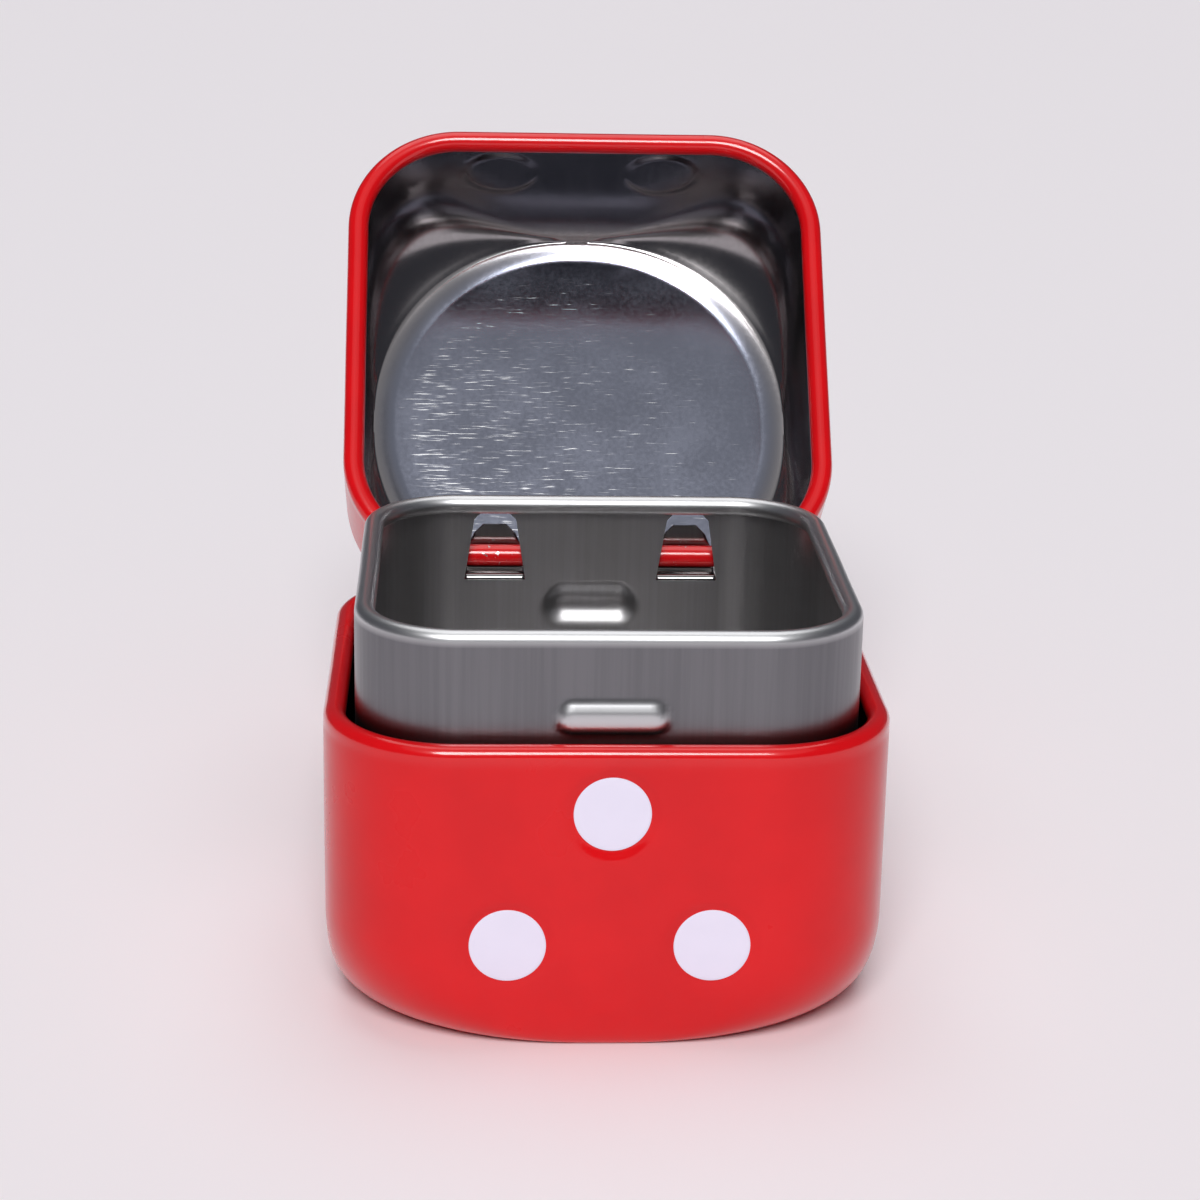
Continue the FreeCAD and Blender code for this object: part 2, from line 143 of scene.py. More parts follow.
@dataclass(frozen=True)
class Place:
    """Where a cup drawn mouth upward stands: a lean about X, then a move.

    Attributes:
        lean: angle about +X.
        home: where the cup's origin goes.
    """

    lean: float = 0.0
    home: Triple = (0.0, 0.0, 0.0)

    @property
    def turned(self) -> Array:
        """Turn of the place as a 3 by 3 array."""
        return np.array(Matrix.Rotation(self.lean, 3, "X"))

    def put(self, points: Array) -> Array:
        """Points of the cup's frame, in the part's frame."""
        return points @ self.turned.T + np.array(self.home)

    def back(self, points: Array) -> Array:
        """Points of the part's frame, in the cup's frame."""
        return (points - np.array(self.home)) @ self.turned

    @classmethod
    def hung(cls, lean: float, pin: Triple, hold: Triple) -> "Place":
        """Place that hangs a cup by one of its points.

        Args:
            lean: angle about +X.
            pin: point of the part's frame that it hangs from.
            hold: point of the cup's frame that goes there.

        Returns:
            The place.
        """
        moved = np.array(pin) - np.array(Matrix.Rotation(lean, 3, "X")) @ np.array(hold)
        return cls(lean, tuple(moved))


@dataclass(frozen=True)
class Rows:
    """Run of rows of a cup's grid, each a rounded square at one level.

    Attributes:
        straight: half length of the flat sides, rows by 1.
        radius: corner radius, rows by columns or by 1.
        level: height, rows by columns or by 1.
        coat: finish of the faces that start at these rows.
    """

    straight: Array
    radius: Array
    level: Array
    coat: Coat

    @property
    def count(self) -> int:
        """How many rows there are."""
        return max(len(self.straight), len(self.radius), len(self.level))

    def spread(self, columns: int) -> Array:
        """Straight, radius and level of every point, 3 by rows by columns."""
        items = (self.straight, self.radius, self.level)
        return np.stack([np.broadcast_to(item, (self.count, columns)) for item in items])

    def flipped(self) -> "Rows":
        """The same rows in the other order."""
        return Rows(self.straight[::-1], self.radius[::-1], self.level[::-1], self.coat)


@dataclass(frozen=True)
class Opening:
    """Pair of openings through one wall, alike on both sides of its middle.

    Attributes:
        wall: wall that they go through.
        side: distance of each one's middle from the wall's middle.
        levels: levels from foot to top at which the width is given.
        halves: half the width at those levels.
        fade: distance above and below over which the grid goes back to its own places.
    """

    wall: Wall
    side: float
    levels: tuple[float, ...]
    halves: tuple[float, ...]
    fade: float = 0.004

    def edges(self, level: float) -> Array:
        """Places across the wall of the four upright edges at a level, from the lowest."""
        half = float(np.interp(level, self.levels, self.halves))
        return np.array([middle + end * half for middle in (-self.side, self.side) for end in (-1, 1)])


def make_piece(
    name: str, points: Array, faces: list[list[int]], finishes: list[bpy.types.Material], marks: Array
) -> bpy.types.Object:
    """Mesh object with smooth faces, linked to the scene.

    Args:
        name: name of the piece.
        points: its points.
        faces: indices of each face's corners, seen from outside in turn.
        finishes: its materials.
        marks: index of each face's material.

    Returns:
        The new object, at the origin.
    """
    mesh = bpy.data.meshes.new(name)
    mesh.from_pydata(points.tolist(), [], faces)
    for finish in finishes:
        mesh.materials.append(finish)
    mesh.polygons.foreach_set("material_index", np.asarray(marks, np.int32))
    mesh.polygons.foreach_set("use_smooth", np.ones(len(faces), bool))
    mesh.update()
    mesh.set_sharp_from_angle(angle=SHARP_ANGLE)
    piece = bpy.data.objects.new(name, mesh)
    bpy.context.collection.objects.link(piece)
    return piece


def hand_over(piece: bpy.types.Object, body: str, slot: str, *nodes: str) -> None:
    """Let a piece ride on a body and hide the CAD nodes that it stands for.

    Args:
        piece: the finished piece.
        body: body that it moves with.
        slot: material slot of the record; not used.
        nodes: CAD nodes that it stands for.
    """
    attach(piece, body)
    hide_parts(*nodes)
    LOG.info("%s: %d faces, rides on %s", piece.name, len(piece.data.polygons), body)


class CupGrid:
    """Closed surface of a cup: rows along its profile and columns round its axis.

    A point is its row's reach along its column's direction, at the row's level. The columns meet
    again after one turn, and the first and last rows close on one point each. Three shares are kept
    at the points for the finishes: wear, scuff and how thick the lacquer lies.
    """

    DENT_TWIST = 14.0
    DENT_RIPPLE = 160.0
    DENT_SHARES = (0.5, 0.3, 0.2)

    def __init__(self, runs: list[Rows], columns: int) -> None:
        """Work out the grid's points.

        Args:
            runs: rows from the middle of the underside, over the rim, to the middle of the floor.
            columns: columns round the axis.
        """
        self.turns = np.arange(columns) * (FULL_TURN / columns)
        self.straight, radius, level = np.concatenate([run.spread(columns) for run in runs], axis=1)
        away = reach(self.turns, self.straight, radius)
        self.points = np.stack([np.cos(self.turns) * away, np.sin(self.turns) * away, level], axis=-1)
        self.coat = np.concatenate([np.full(run.count, run.coat.value) for run in runs])
        self.kept = np.ones((len(away) - 1, columns), bool)
        self.wear = np.zeros(away.shape)
        self.scuff = np.zeros(away.shape)
        self.thick = np.zeros(away.shape)
        self.lining: list[Array] = [np.empty((0, 4), int)]

    def press(self, wall: Wall, near: float, depth: float, shape: Shape) -> None:
        """Press a shape through both faces of a wall.

        Args:
            wall: wall to press.
            near: least distance from the axis at which a point belongs to the wall.
            depth: how far the wall moves outward; a negative depth moves it inward.
            shape: share of the depth at places across the wall and levels.
        """
        share = shape(self.points[..., wall.axis], self.points[..., 2])
        share = np.where(wall.depth(self.points) > near, share, 0.0)
        self.points[..., :2] += (depth * share)[..., None] * np.array(wall.value, float)

    def dent(self, amount: float, seed: float) -> None:
        """Draw the walls in a little, by an uneven share of an amount.

        The share is a half, plus part of a wave round the cup that twists as it climbs and part of a
        cosine that ripples up the wall, held between 0 and 1.

        Args:
            amount: the most that a wall is drawn in.
            seed: number that sets the phases.
        """
        level = self.points[..., 2]
        around = waver(self.turns + self.DENT_TWIST * level, (2, 5, 9), seed)
        up = np.cos(self.DENT_RIPPLE * level + seed + self.turns)
        middle, around_share, up_share = self.DENT_SHARES
        inward = amount * np.clip(middle + around_share * around + up_share * up, 0.0, 1.0)
        away = np.maximum(np.hypot(self.points[..., 0], self.points[..., 1]), amount)
        self.points[..., :2] *= (1.0 - inward / away)[..., None]

    def cut(self, opening: Opening, outer: Array, inner: Array) -> None:
        """Cut a pair of openings: draw the columns to their edges, drop their faces and line them.

        Args:
            opening: the openings.
            outer: indices of the outer face's rows, from the foot up.
            inner: indices of the inner face's rows at the same levels, from the foot up.
        """
        columns = self._nearest_columns(opening, outer[0])
        heights = self.points[outer, columns[0], 2]
        for row in np.concatenate([outer, inner]):
            self._draw_columns(opening, row, columns)
        ends = (opening.levels[0], opening.levels[-1])
        low, top = (int(np.argmin(np.abs(heights - end))) for end in ends)
        for pair in (columns[:2], columns[2:]):
            self._open(outer[low : top + 1], inner[low : top + 1], min(pair), max(pair))

    def _nearest_columns(self, opening: Opening, row: int) -> Array:
        """Columns of a wall nearest to the four upright edges, halfway up.

        Args:
            opening: the openings.
            row: a row of the wall.

        Returns:
            Index of one column for each edge.
        """
        points = self.points[row]
        depth = opening.wall.depth(points)
        places = np.where(depth > ON_WALL * depth.max(), points[:, opening.wall.axis], np.inf)
        middle = (opening.levels[0] + opening.levels[-1]) / 2
        return np.array([int(np.argmin(np.abs(places - edge))) for edge in opening.edges(middle)])

    def _draw_columns(self, opening: Opening, row: int, columns: Array) -> None:
        """Slide one row's points along the wall until the chosen columns lie on the edges.

        A point between two columns moves in proportion, and the move fades above and below.

        Args:
            opening: the openings.
            row: the row to slide.
            columns: the columns that belong on the edges.
        """
        points, axis = self.points[row], opening.wall.axis
        level = points[columns[0], 2]
        beyond = max(opening.levels[0] - level, level - opening.levels[-1], 0.0)
        hold = 1.0 - float(smooth(np.array(beyond / opening.fade)))
        flat = self.straight[row, 0]
        order = np.sort(points[columns, axis])
        start = np.array([-flat, *order, flat])
        goal = np.array([-flat, *(order + hold * (opening.edges(level) - order)), flat])
        on_flat = (opening.wall.depth(points) > flat) & (np.abs(points[:, axis]) <= flat)
        points[on_flat, axis] = np.interp(points[on_flat, axis], start, goal)

    def _open(self, outer: Array, inner: Array, first: int, last: int) -> None:
        """Drop the faces between two columns on both sides of a wall and line the gap.

        Args:
            outer: outer rows of the opening, from the foot up.
            inner: inner rows at the same levels.
            first: column of one edge.
            last: column of the other edge.
        """
        self.kept[outer[0] : outer[-1], first:last] = False
        self.kept[inner[-1] : inner[0], first:last] = False
        left, right = np.arange(first, last), np.arange(first + 1, last + 1)
        low, high = slice(0, -1), slice(1, None)
        self._line((outer[0], left), (outer[0], right), (inner[0], right), (inner[0], left))
        self._line((outer[-1], right), (outer[-1], left), (inner[-1], left), (inner[-1], right))
        self._line((outer[high], first), (outer[low], first), (inner[low], first), (inner[high], first))
        self._line((outer[low], last), (outer[high], last), (inner[high], last), (inner[low], last))

    def _line(self, *corners: tuple[Array, Array]) -> None:
        """Add a strip of faces to the lining.

        Args:
            corners: rows and columns of each of a face's four corners, for all faces of the strip.
        """
        wide = len(self.turns)
        places = np.broadcast_arrays(*(row * wide + column for row, column in corners))
        self.lining.append(np.stack(places, axis=-1))

    def build(
        self, name: str, place: Place, finishes: dict[Coat, bpy.types.Material]
    ) -> bpy.types.Object:
        """Make the mesh object of the grid.

        Args:
            name: name of the piece.
            place: where the cup stands.
            finishes: material of each coat.

        Returns:
            The new object, at the origin.
        """
        tall, wide = self.wear.shape
        index = np.arange(tall * wide).reshape(tall, wide)
        after = np.roll(index, -1, axis=1)
        quads = np.stack([index[:-1], after[:-1], after[1:], index[1:]], axis=-1)[self.kept]
        coats = np.broadcast_to(self.coat[:-1, None], self.kept.shape)[self.kept]
        lining = np.concatenate(self.lining)
        under = np.stack([after[0], index[0], np.full(wide, tall * wide)], axis=-1)
        floor = np.stack([index[-1], after[-1], np.full(wide, tall * wide + 1)], axis=-1)
        poles = [[0.0, 0.0, self.points[row, :, 2].mean()] for row in (0, -1)]
        points = place.put(np.concatenate([self.points.reshape(-1, 3), poles]))
        faces = [face for part in (quads, lining, under, floor) for face in part.tolist()]
        cut_edges = np.full(len(lining), Coat.BARE.value)
        ends = np.repeat(self.coat[[0, -1]], wide)
        order = [finishes[coat] for coat in Coat]
        piece = make_piece(name, points, faces, order, np.concatenate([coats, cut_edges, ends]))
        for title, share in {"wear": self.wear, "scuff": self.scuff, "thick": self.thick}.items():
            kept = piece.data.attributes.new(title, "FLOAT", "POINT")
            at_poles = [share[0].mean(), share[-1].mean()]
            kept.data.foreach_set("value", np.append(share.ravel(), at_poles).astype(np.float32))
        return piece


class Wire:
    """Output of a shader node, with sums and products that add Math nodes."""

    def __init__(self, shader: "Shader", socket: bpy.types.NodeSocket) -> None:
        """Keep the socket and the shader that it belongs to."""
        self.shader = shader
        self.socket = socket

    def _math(self, operation: str, first: object, second: object) -> "Wire":
        """Math node on two values."""
        return self.shader.node("ShaderNodeMath", {"operation": operation}, {0: first, 1: second})

    def __add__(self, other: object) -> "Wire":
        """Sum of two values."""
        return self._math("ADD", self, other)

    def __radd__(self, other: object) -> "Wire":
        """Sum of a number and this value."""
        return self._math("ADD", other, self)

    def __sub__(self, other: object) -> "Wire":
        """This value less another."""
        return self._math("SUBTRACT", self, other)

    def __rsub__(self, other: object) -> "Wire":
        """A number less this value."""
        return self._math("SUBTRACT", other, self)

    def __mul__(self, other: object) -> "Wire":
        """Product of two values."""
        return self._math("MULTIPLY", self, other)

    def __rmul__(self, other: object) -> "Wire":
        """Product of a number and this value."""
        return self._math("MULTIPLY", other, self)


class Shader:
    """Node tree of one material, with the few kinds of node that the finishes share."""

    def __init__(self, name: str) -> None:
        """Start a material with an empty tree.

        Args:
            name: name of the material.
        """
        self.material = bpy.data.materials.new(name)
        self.material.use_nodes = True
        self.tree = self.material.node_tree
        self.tree.nodes.clear()

    def node(
        self, kind: str, settings: dict[str, object], sockets: dict[object, object], out: object = 0
    ) -> Wire:
        """Add a node.

        Args:
            kind: type of the node.
            settings: its properties, set first.
            sockets: values of, or wires into, its inputs, by name or number.
            out: name or number of the output to hand back.

        Returns:
            The chosen output.
        """
        node = self.tree.nodes.new(kind)
        for key, setting in settings.items():
            setattr(node, key, setting)
        for key, given in sockets.items():
            if isinstance(given, Wire):
                self.tree.links.new(given.socket, node.inputs[key])
            else:
                node.inputs[key].default_value = given
        return Wire(self, node.outputs[out])

    def coords(self, scale: Triple = (1.0, 1.0, 1.0), place: Place = Place()) -> Wire:
        """Object coordinates brought back into the frame of a cup, and then stretched.

        Args:
            scale: stretch along each axis.
            place: where the cup stands.

        Returns:
            The coordinates.
        """
        moved = self.node("ShaderNodeTexCoord", {}, {}, "Object")
        back = {"Rotation": (-place.lean, 0.0, 0.0), "Location": tuple(place.back(np.zeros(3)))}
        upright = self.node("ShaderNodeMapping", {}, {"Vector": moved, **back})
        return self.node("ShaderNodeMapping", {}, {"Vector": upright, "Scale": scale})

    def attribute(self, name: str) -> Wire:
        """Value that a piece's mesh keeps at its points."""
        return self.node("ShaderNodeAttribute", {"attribute_name": name}, {}, "Fac")

    def noise(self, coords: Wire, scale: float, detail: float = 2.0, rough: float = 0.5) -> Wire:
        """Noise about a half, by waves per metre."""
        sockets = {"Vector": coords, "Scale": scale, "Detail": detail, "Roughness": rough}
        return self.node("ShaderNodeTexNoise", {}, sockets, "Fac")

    def ramp(self, value: Wire, low: float, high: float) -> Wire:
        """Value eased from 0 at `low` to 1 at `high`."""
        sockets = {"Value": value, "From Min": low, "From Max": high}
        return self.node("ShaderNodeMapRange", {"interpolation_type": "SMOOTHSTEP"}, sockets)

    def blend(self, share: Wire, first: object, second: object) -> Wire:
        """Colour between two, by a share; 6 and 7 are a Mix node's colours, and 2 is its result."""
        ends = {6: self.opaque(first), 7: self.opaque(second)}
        return self.node("ShaderNodeMix", {"data_type": "RGBA"}, {0: share, **ends}, 2)

    def bump(self, height: Wire, depth: float) -> Wire:
        """Normal bent by a height of so many metres."""
        return self.node("ShaderNodeBump", {}, {"Height": height, "Strength": 1.0, "Distance": depth})

    def close(self, sockets: dict[object, object]) -> bpy.types.Material:
        """Finish the material with one principled surface.

        Args:
            sockets: values of, or wires into, the surface's inputs.

        Returns:
            The finished material.
        """
        surface = self.node("ShaderNodeBsdfPrincipled", {}, sockets)
        output = self.tree.nodes.new("ShaderNodeOutputMaterial")
        self.tree.links.new(surface.socket, output.inputs["Surface"])
        return self.material

    @staticmethod
    def opaque(colour: object) -> object:
        """A plain colour with its alpha; a wire as it is."""
        return colour if isinstance(colour, Wire) else (*colour, 1.0)


@dataclass(frozen=True)
class RedLacquer:
    """Glossy lacquer on sheet steel, thick on the rolled rims and chipped where the hinge rubs.

    Attributes:
        colour: the lacquer.
        deep: the lacquer where it lies in a cloud.
        metal: the steel in a chip.
        roughness: of the lacquer between the clouds.
        haze: roughness that a cloud adds.
        clouds: waves of the clouds per metre.
        cloud_levels: cloud at which the deep colour starts, and at which it is whole.
        peel: waves of the orange peel per metre.
        specks: waves of the chips per metre.
        chipped: speck at which a chip starts, and at which it is bare.
        relief: height of the orange peel.
        chip_depth: depth of a chip in heights of the peel.
        wall_coat: weight of the clear coat on the walls.
        rim_coat: weight that it gains on the rims.
        coat_roughness: of the clear coat.
        specular: level of the lacquer's own gloss.
    """

    colour: Triple = (0.70, 0.003, 0.006)
    deep: Triple = (0.64, 0.002, 0.005)
    metal: Triple = (0.52, 0.50, 0.50)
    roughness: float = 0.24
    haze: float = 0.10
    clouds: float = 90.0
    cloud_levels: tuple[float, float] = (0.3, 0.7)
    peel: float = 900.0
    specks: float = 1500.0
    chipped: tuple[float, float] = (0.60, 0.64)
    relief: float = 0.000006
    chip_depth: float = 8.0
    wall_coat: float = 0.5
    rim_coat: float = 0.5
    coat_roughness: float = 0.12
    specular: float = 0.15

    def material(self) -> bpy.types.Material:
        """Build the material.

        Returns:
            The new material.
        """
        shader = Shader("red_lacquer")
        place = shader.coords()
        cloud = shader.noise(place, self.clouds, detail=4.0)
        peel = shader.noise(place, self.peel)
        specks = shader.noise(place, self.specks, detail=3.0, rough=0.7)
        chips = shader.ramp(specks * shader.attribute("wear"), *self.chipped)
        paint = shader.blend(shader.ramp(cloud, *self.cloud_levels), self.colour, self.deep)
        return shader.close({
            "Base Color": shader.blend(chips, paint, self.metal),
            "Metallic": chips,
            "Roughness": self.roughness + self.haze * cloud,
            "Normal": shader.bump(peel - chips * self.chip_depth, self.relief),
            "Specular IOR Level": self.specular,
            "Coat Weight": self.wall_coat + self.rim_coat * shader.attribute("thick"),
            "Coat Roughness": self.coat_roughness,
        })


@dataclass(frozen=True)
class Tinplate:
    """Bare drawn tinplate: fine draw lines up the walls, rolled scratches where it is scuffed.

    Attributes:
        name: name of the material.
        place: where the cup that it belongs to stands.
        colour: clean metal of the walls.
        tarnish: dull metal between the draw lines.
        end: metal of the flat end, darker and bluer than the walls: a painted reflection.
        bright: metal of a scratch and of a rubbed edge.
        roughness: of clean metal.
        dull_haze: roughness that tarnish adds.
        scratch_haze: roughness that a scratch adds.
        rub_haze: roughness that rubbing adds.
        end_radius: radius of the flat end, 0 for none.
        end_blend: width over which its metal starts.
        relief: height of the draw lines.
        draw_lines: waves of the draw lines per metre.
        line_squeeze: how much fewer there are up the wall.
        bands: waves of the broad bands among them per metre.
        band_squeeze: how much fewer there are up the wall.
        dull_levels: mean of line and band at which tarnish starts, and at which it is whole.
        flecks: waves of the scratches per metre.
        fleck_squeeze: how much fewer there are across.
        fleck_levels: fleck at which a scratch starts, and at which it is bright.
        scuff_gain: how much nearer scuffed metal is to a scratch.
        scuff_whole: scuffing from which scratches are whole.
    """

    name: str
    place: Place = Place()
    colour: Triple = (0.56, 0.55, 0.56)
    tarnish: Triple = (0.50, 0.49, 0.49)
    end: Triple = (0.275, 0.29, 0.36)
    bright: Triple = (0.66, 0.66, 0.67)
    roughness: float = 0.22
    dull_haze: float = 0.05
    scratch_haze: float = 0.15
    rub_haze: float = 0.06
    end_radius: float = 0.0
    end_blend: float = 0.003
    relief: float = 0.000002
    draw_lines: float = 1600.0
    line_squeeze: float = 0.02
    bands: float = 110.0
    band_squeeze: float = 0.25
    dull_levels: tuple[float, float] = (0.36, 0.64)
    flecks: float = 6600.0
    fleck_squeeze: float = 0.055
    fleck_levels: tuple[float, float] = (0.76, 0.96)
    scuff_gain: float = 0.20
    scuff_whole: float = 0.1

    def material(self) -> bpy.types.Material:
        """Build the material.

        Lines, bands and flecks are noise squeezed along one axis, which draws it out that way.

        Returns:
            The new material.
        """
        shader = Shader(self.name)
        flat = shader.coords((1.0, 1.0, 0.0), self.place)
        away = shader.node("ShaderNodeVectorMath", {"operation": "LENGTH"}, {0: flat}, "Value")
        on_end = 1.0 - shader.ramp(away, self.end_radius - self.end_blend, self.end_radius)
        up_lines = shader.coords((1.0, 1.0, self.line_squeeze), self.place)
        lines = shader.noise(up_lines, self.draw_lines, detail=4.0, rough=0.6)
        bands = shader.noise(shader.coords((1.0, 1.0, self.band_squeeze), self.place), self.bands)
        rubbed, scuff = shader.attribute("wear"), shader.attribute("scuff")
        dull = shader.ramp(0.5 * lines + 0.5 * bands, *self.dull_levels) * (1.0 - rubbed)
        along_flecks = shader.coords((self.fleck_squeeze, 1.0, 1.0), self.place)
        flecks = shader.noise(along_flecks, self.flecks, detail=1.0)
        marked = shader.ramp(flecks + self.scuff_gain * scuff, *self.fleck_levels)
        scratch = marked * shader.ramp(scuff, 0.0, self.scuff_whole)
        haze = self.dull_haze * dull + self.scratch_haze * scratch + self.rub_haze * rubbed
        # The flat end's darker, bluer metal is a painted reflection, not a different metal.
        metal = shader.blend(on_end, shader.blend(dull, self.colour, self.tarnish), self.end)
        return shader.close({
            "Base Color": shader.blend(scratch + rubbed * (1.0 - scratch), metal, self.bright),
            "Metallic": 1.0,
            "Roughness": self.roughness + haze,
            "Normal": shader.bump(lines * (1.0 - rubbed), self.relief),
        })


@dataclass(frozen=True)
class LidTinplate(Tinplate):
    """Tinplate inside the lid: smooth and clear, painted darker than the liner's, with a flat end
    painted darker and bluer still; both are painted reflection of a dim surround.
    """

    name: str = "lid_tinplate"
    # Painted shade: darker than the liner's tinplate, standing in for the dark reflections inside the
    # lid.
    colour: Triple = (0.38, 0.36, 0.365)
    tarnish: Triple = (0.35, 0.33, 0.335)
    roughness: float = 0.15
    end_radius: float = 0.0275
    relief: float = 0.0000004


@dataclass(frozen=True)
class LinerInsideTinplate(Tinplate):
    """Tinplate inside the liner and over its rim: pale and soft."""

    name: str = "liner_inside_tinplate"
    roughness: float = 0.30


@dataclass(frozen=True)
class LinerOutsideShadedTinplate(Tinplate):
    """Tinplate outside the liner, painted far darker than its inside as painted shade for the dark
    reflections on its walls.
    """

    name: str = "liner_outside_tinplate"
    # Painted shade: far darker than the inside tinplate of the same sheet.
    colour: Triple = (0.21, 0.207, 0.22)
    tarnish: Triple = (0.182, 0.181, 0.193)
    roughness: float = 0.28


@dataclass(frozen=True)
class LugShadedTinplate(Tinplate):
    """Tinplate of the hinge lugs, smooth from rubbing, painted darker than the liner that they are bent
    from: painted shade.
    """

    name: str = "lug_tinplate"
    # Painted shade: darker than the liner's tinplate, for the dark tongue behind the lid's roll.
    colour: Triple = (0.30, 0.285, 0.285)
    tarnish: Triple = (0.25, 0.235, 0.235)
    roughness: float = 0.12


@dataclass(frozen=True)
class WhiteEnamel:
    """Cool white enamel of the pips.

    Attributes:
        colour: the enamel.
        shade: the enamel where it is a little thinner.
        roughness: between the grains.
        haze: roughness that a grain adds.
        clouds: waves of the shading per metre.
        cloud_levels: cloud at which the shade starts, and at which it is whole.
        grains: waves of the grain per metre.
        relief: height of the grain.
        specular: level of its gloss.
    """

    colour: Triple = (0.80, 0.76, 0.90)
    shade: Triple = (0.785, 0.745, 0.885)
    roughness: float = 0.38
    haze: float = 0.10
    clouds: float = 300.0
    cloud_levels: tuple[float, float] = (0.3, 0.8)
    grains: float = 2500.0
    relief: float = 0.000004
    specular: float = 0.3

    def material(self) -> bpy.types.Material:
        """Build the material.

        Returns:
            The new material.
        """
        shader = Shader("white_enamel")
        place = shader.coords()
        cloud = shader.noise(place, self.clouds, detail=3.0)
        grain = shader.noise(place, self.grains)
        paint = shader.blend(shader.ramp(cloud, *self.cloud_levels), self.colour, self.shade)
        return shader.close({
            "Base Color": paint,
            "Roughness": self.roughness + self.haze * grain,
            "Normal": shader.bump(grain, self.relief),
            "Specular IOR Level": self.specular,
        })


@dataclass(frozen=True)
class PaleFloor:
    """Plain pale board that the tin stands on.

    Attributes:
        colour: the board.
        roughness: between the grains.
        haze: roughness that a grain adds.
        grains: waves of the grain per metre.
        specular: level of its gloss.
    """

    colour: Triple = (0.92, 0.875, 0.905)
    roughness: float = 0.62
    haze: float = 0.08
    grains: float = 900.0
    specular: float = 0.2

    def material(self) -> bpy.types.Material:
        """Build the material.

        Returns:
            The new material.
        """
        shader = Shader("pale_floor")
        grain = shader.noise(shader.coords(), self.grains)
        return shader.close({
            "Base Color": Shader.opaque(self.colour),
            "Roughness": self.roughness + self.haze * grain,
            "Specular IOR Level": self.specular,
        })


@dataclass
class RolledCup:
    """Drawn sheet cup, mouth upward, with its rim rolled inward.

    Attributes:
        half: half the width over the walls.
        height: height of the rim.
        corner: radius of the upright corners.
        sheet: thickness of the sheet.
        roll: outer radius of the rolled rim.
        wrap: angle that the roll goes round.
        columns: columns of the grid.
        seed: number that sets the small unevenness of the sheet.
        marks: levels of the wall at which a row is wanted.
        rim_coat: finish of the rolled rim's outside.
        steps: rows of the wall.
        uneven: share by which the roll's edge stops short here and there.
        dent: the most that the walls are drawn in.
    """

    # An even row this near to a mark, in steps, gives way to it.
    CLEAR_STEPS = 0.4
    ROLL_ROWS = 29
    EDGE_ROWS = 3
    BACK_ROWS = 13

    half: float
    height: float
    corner: float = 0.014
    sheet: float = 0.0003
    roll: float = 0.0012
    wrap: float = math.radians(290)
    columns: int = 384
    seed: float = 1.0
    marks: tuple[float, ...] = ()
    rim_coat: Coat = Coat.OUTSIDE
    steps: int = 56
    uneven: float = 0.03
    dent: float = 0.00005

    @property
    def straight(self) -> float:
        """Half length of the flat sides."""
        return self.half - self.corner

    @property
    def foot(self) -> float:
        """Level at which the walls start."""
        raise NotImplementedError

    def end_rows(self, depth: float, coat: Coat) -> list[Rows]:
        """Closed end from its middle to the walls.

        Args:
            depth: how far into the sheet the surface lies.
            coat: its finish.

        Returns:
            Runs of rows, from the middle outward.
        """
        raise NotImplementedError

    def levels(self) -> Array:
        """Levels of the wall's rows, even but for a row at each mark.

        Returns:
            Levels from the foot up.
        """
        even = np.linspace(self.foot, self.height - self.roll, self.steps)
        near = np.abs(even[1:-1, None] - np.array([*self.marks, np.inf]))
        clear = near.min(axis=1) > self.CLEAR_STEPS * (even[1] - even[0])
        return np.sort(np.concatenate([even[:1], even[1:-1][clear], even[-1:], self.marks]))

    def rim_rows(self) -> list[Rows]:
        """Rolled rim: over its outside, round the sheet's edge and back along its inside.

        A point of the roll lies at a radius and an angle about the roll's middle, from the wall
        outward and over the top. The edge stops a little short here and there.

        Returns:
            The three runs of rows.
        """
        turns = np.arange(self.columns) * (FULL_TURN / self.columns)
        uneven = 1 + self.uneven * waver(turns, (3, 7, 11, 19, 31), self.seed)
        thin = self.roll - self.sheet
        over = np.linspace(0, self.wrap, self.ROLL_ROWS + 1)[1:]
        edge = np.linspace(self.roll, thin, self.EDGE_ROWS + 2)[1:-1]
        back = np.linspace(self.wrap, 0, self.BACK_ROWS + 1)[:-1]
        runs = (
            (over, np.array([self.roll]), self.rim_coat),
            (np.full(self.EDGE_ROWS, self.wrap), edge, Coat.BARE),
            (back, np.array([thin]), Coat.BARE),
        )
        rows = []
        for turn, radius, coat in runs:
            bent, radius = turn[:, None] * uneven, radius[:, None]
            inset = self.roll - radius * np.cos(bent)
            level = self.height - self.roll + radius * np.sin(bent)
            rows.append(Rows(np.full((len(turn), 1), self.straight), self.corner - inset, level, coat))
        return rows

    def grid(self) -> tuple[CupGrid, Array, Array]:
        """Grid of the whole cup: up its outside, over the rim and down its inside.

        Returns:
            The grid, and the indices of its wall's outer and inner rows from the foot up.
        """
        level = self.levels()[:, None]
        straight = np.full((1, 1), self.straight)
        outer_wall = Rows(straight, np.full((1, 1), self.corner), level, Coat.OUTSIDE)
        inner_wall = Rows(straight, np.full((1, 1), self.corner - self.sheet), level[::-1], Coat.BARE)
        before = self.end_rows(0.0, Coat.OUTSIDE)
        after = [run.flipped() for run in self.end_rows(self.sheet, Coat.BARE)[::-1]]
        up = [*before, outer_wall, *self.rim_rows()]
        grid = CupGrid([*up, inner_wall, *after], self.columns)
        grid.dent(self.dent, self.seed)
        outer = sum(run.count for run in before) + np.arange(len(level))
        inner = sum(run.count for run in up) + np.arange(len(level))[::-1]
        return grid, outer, inner


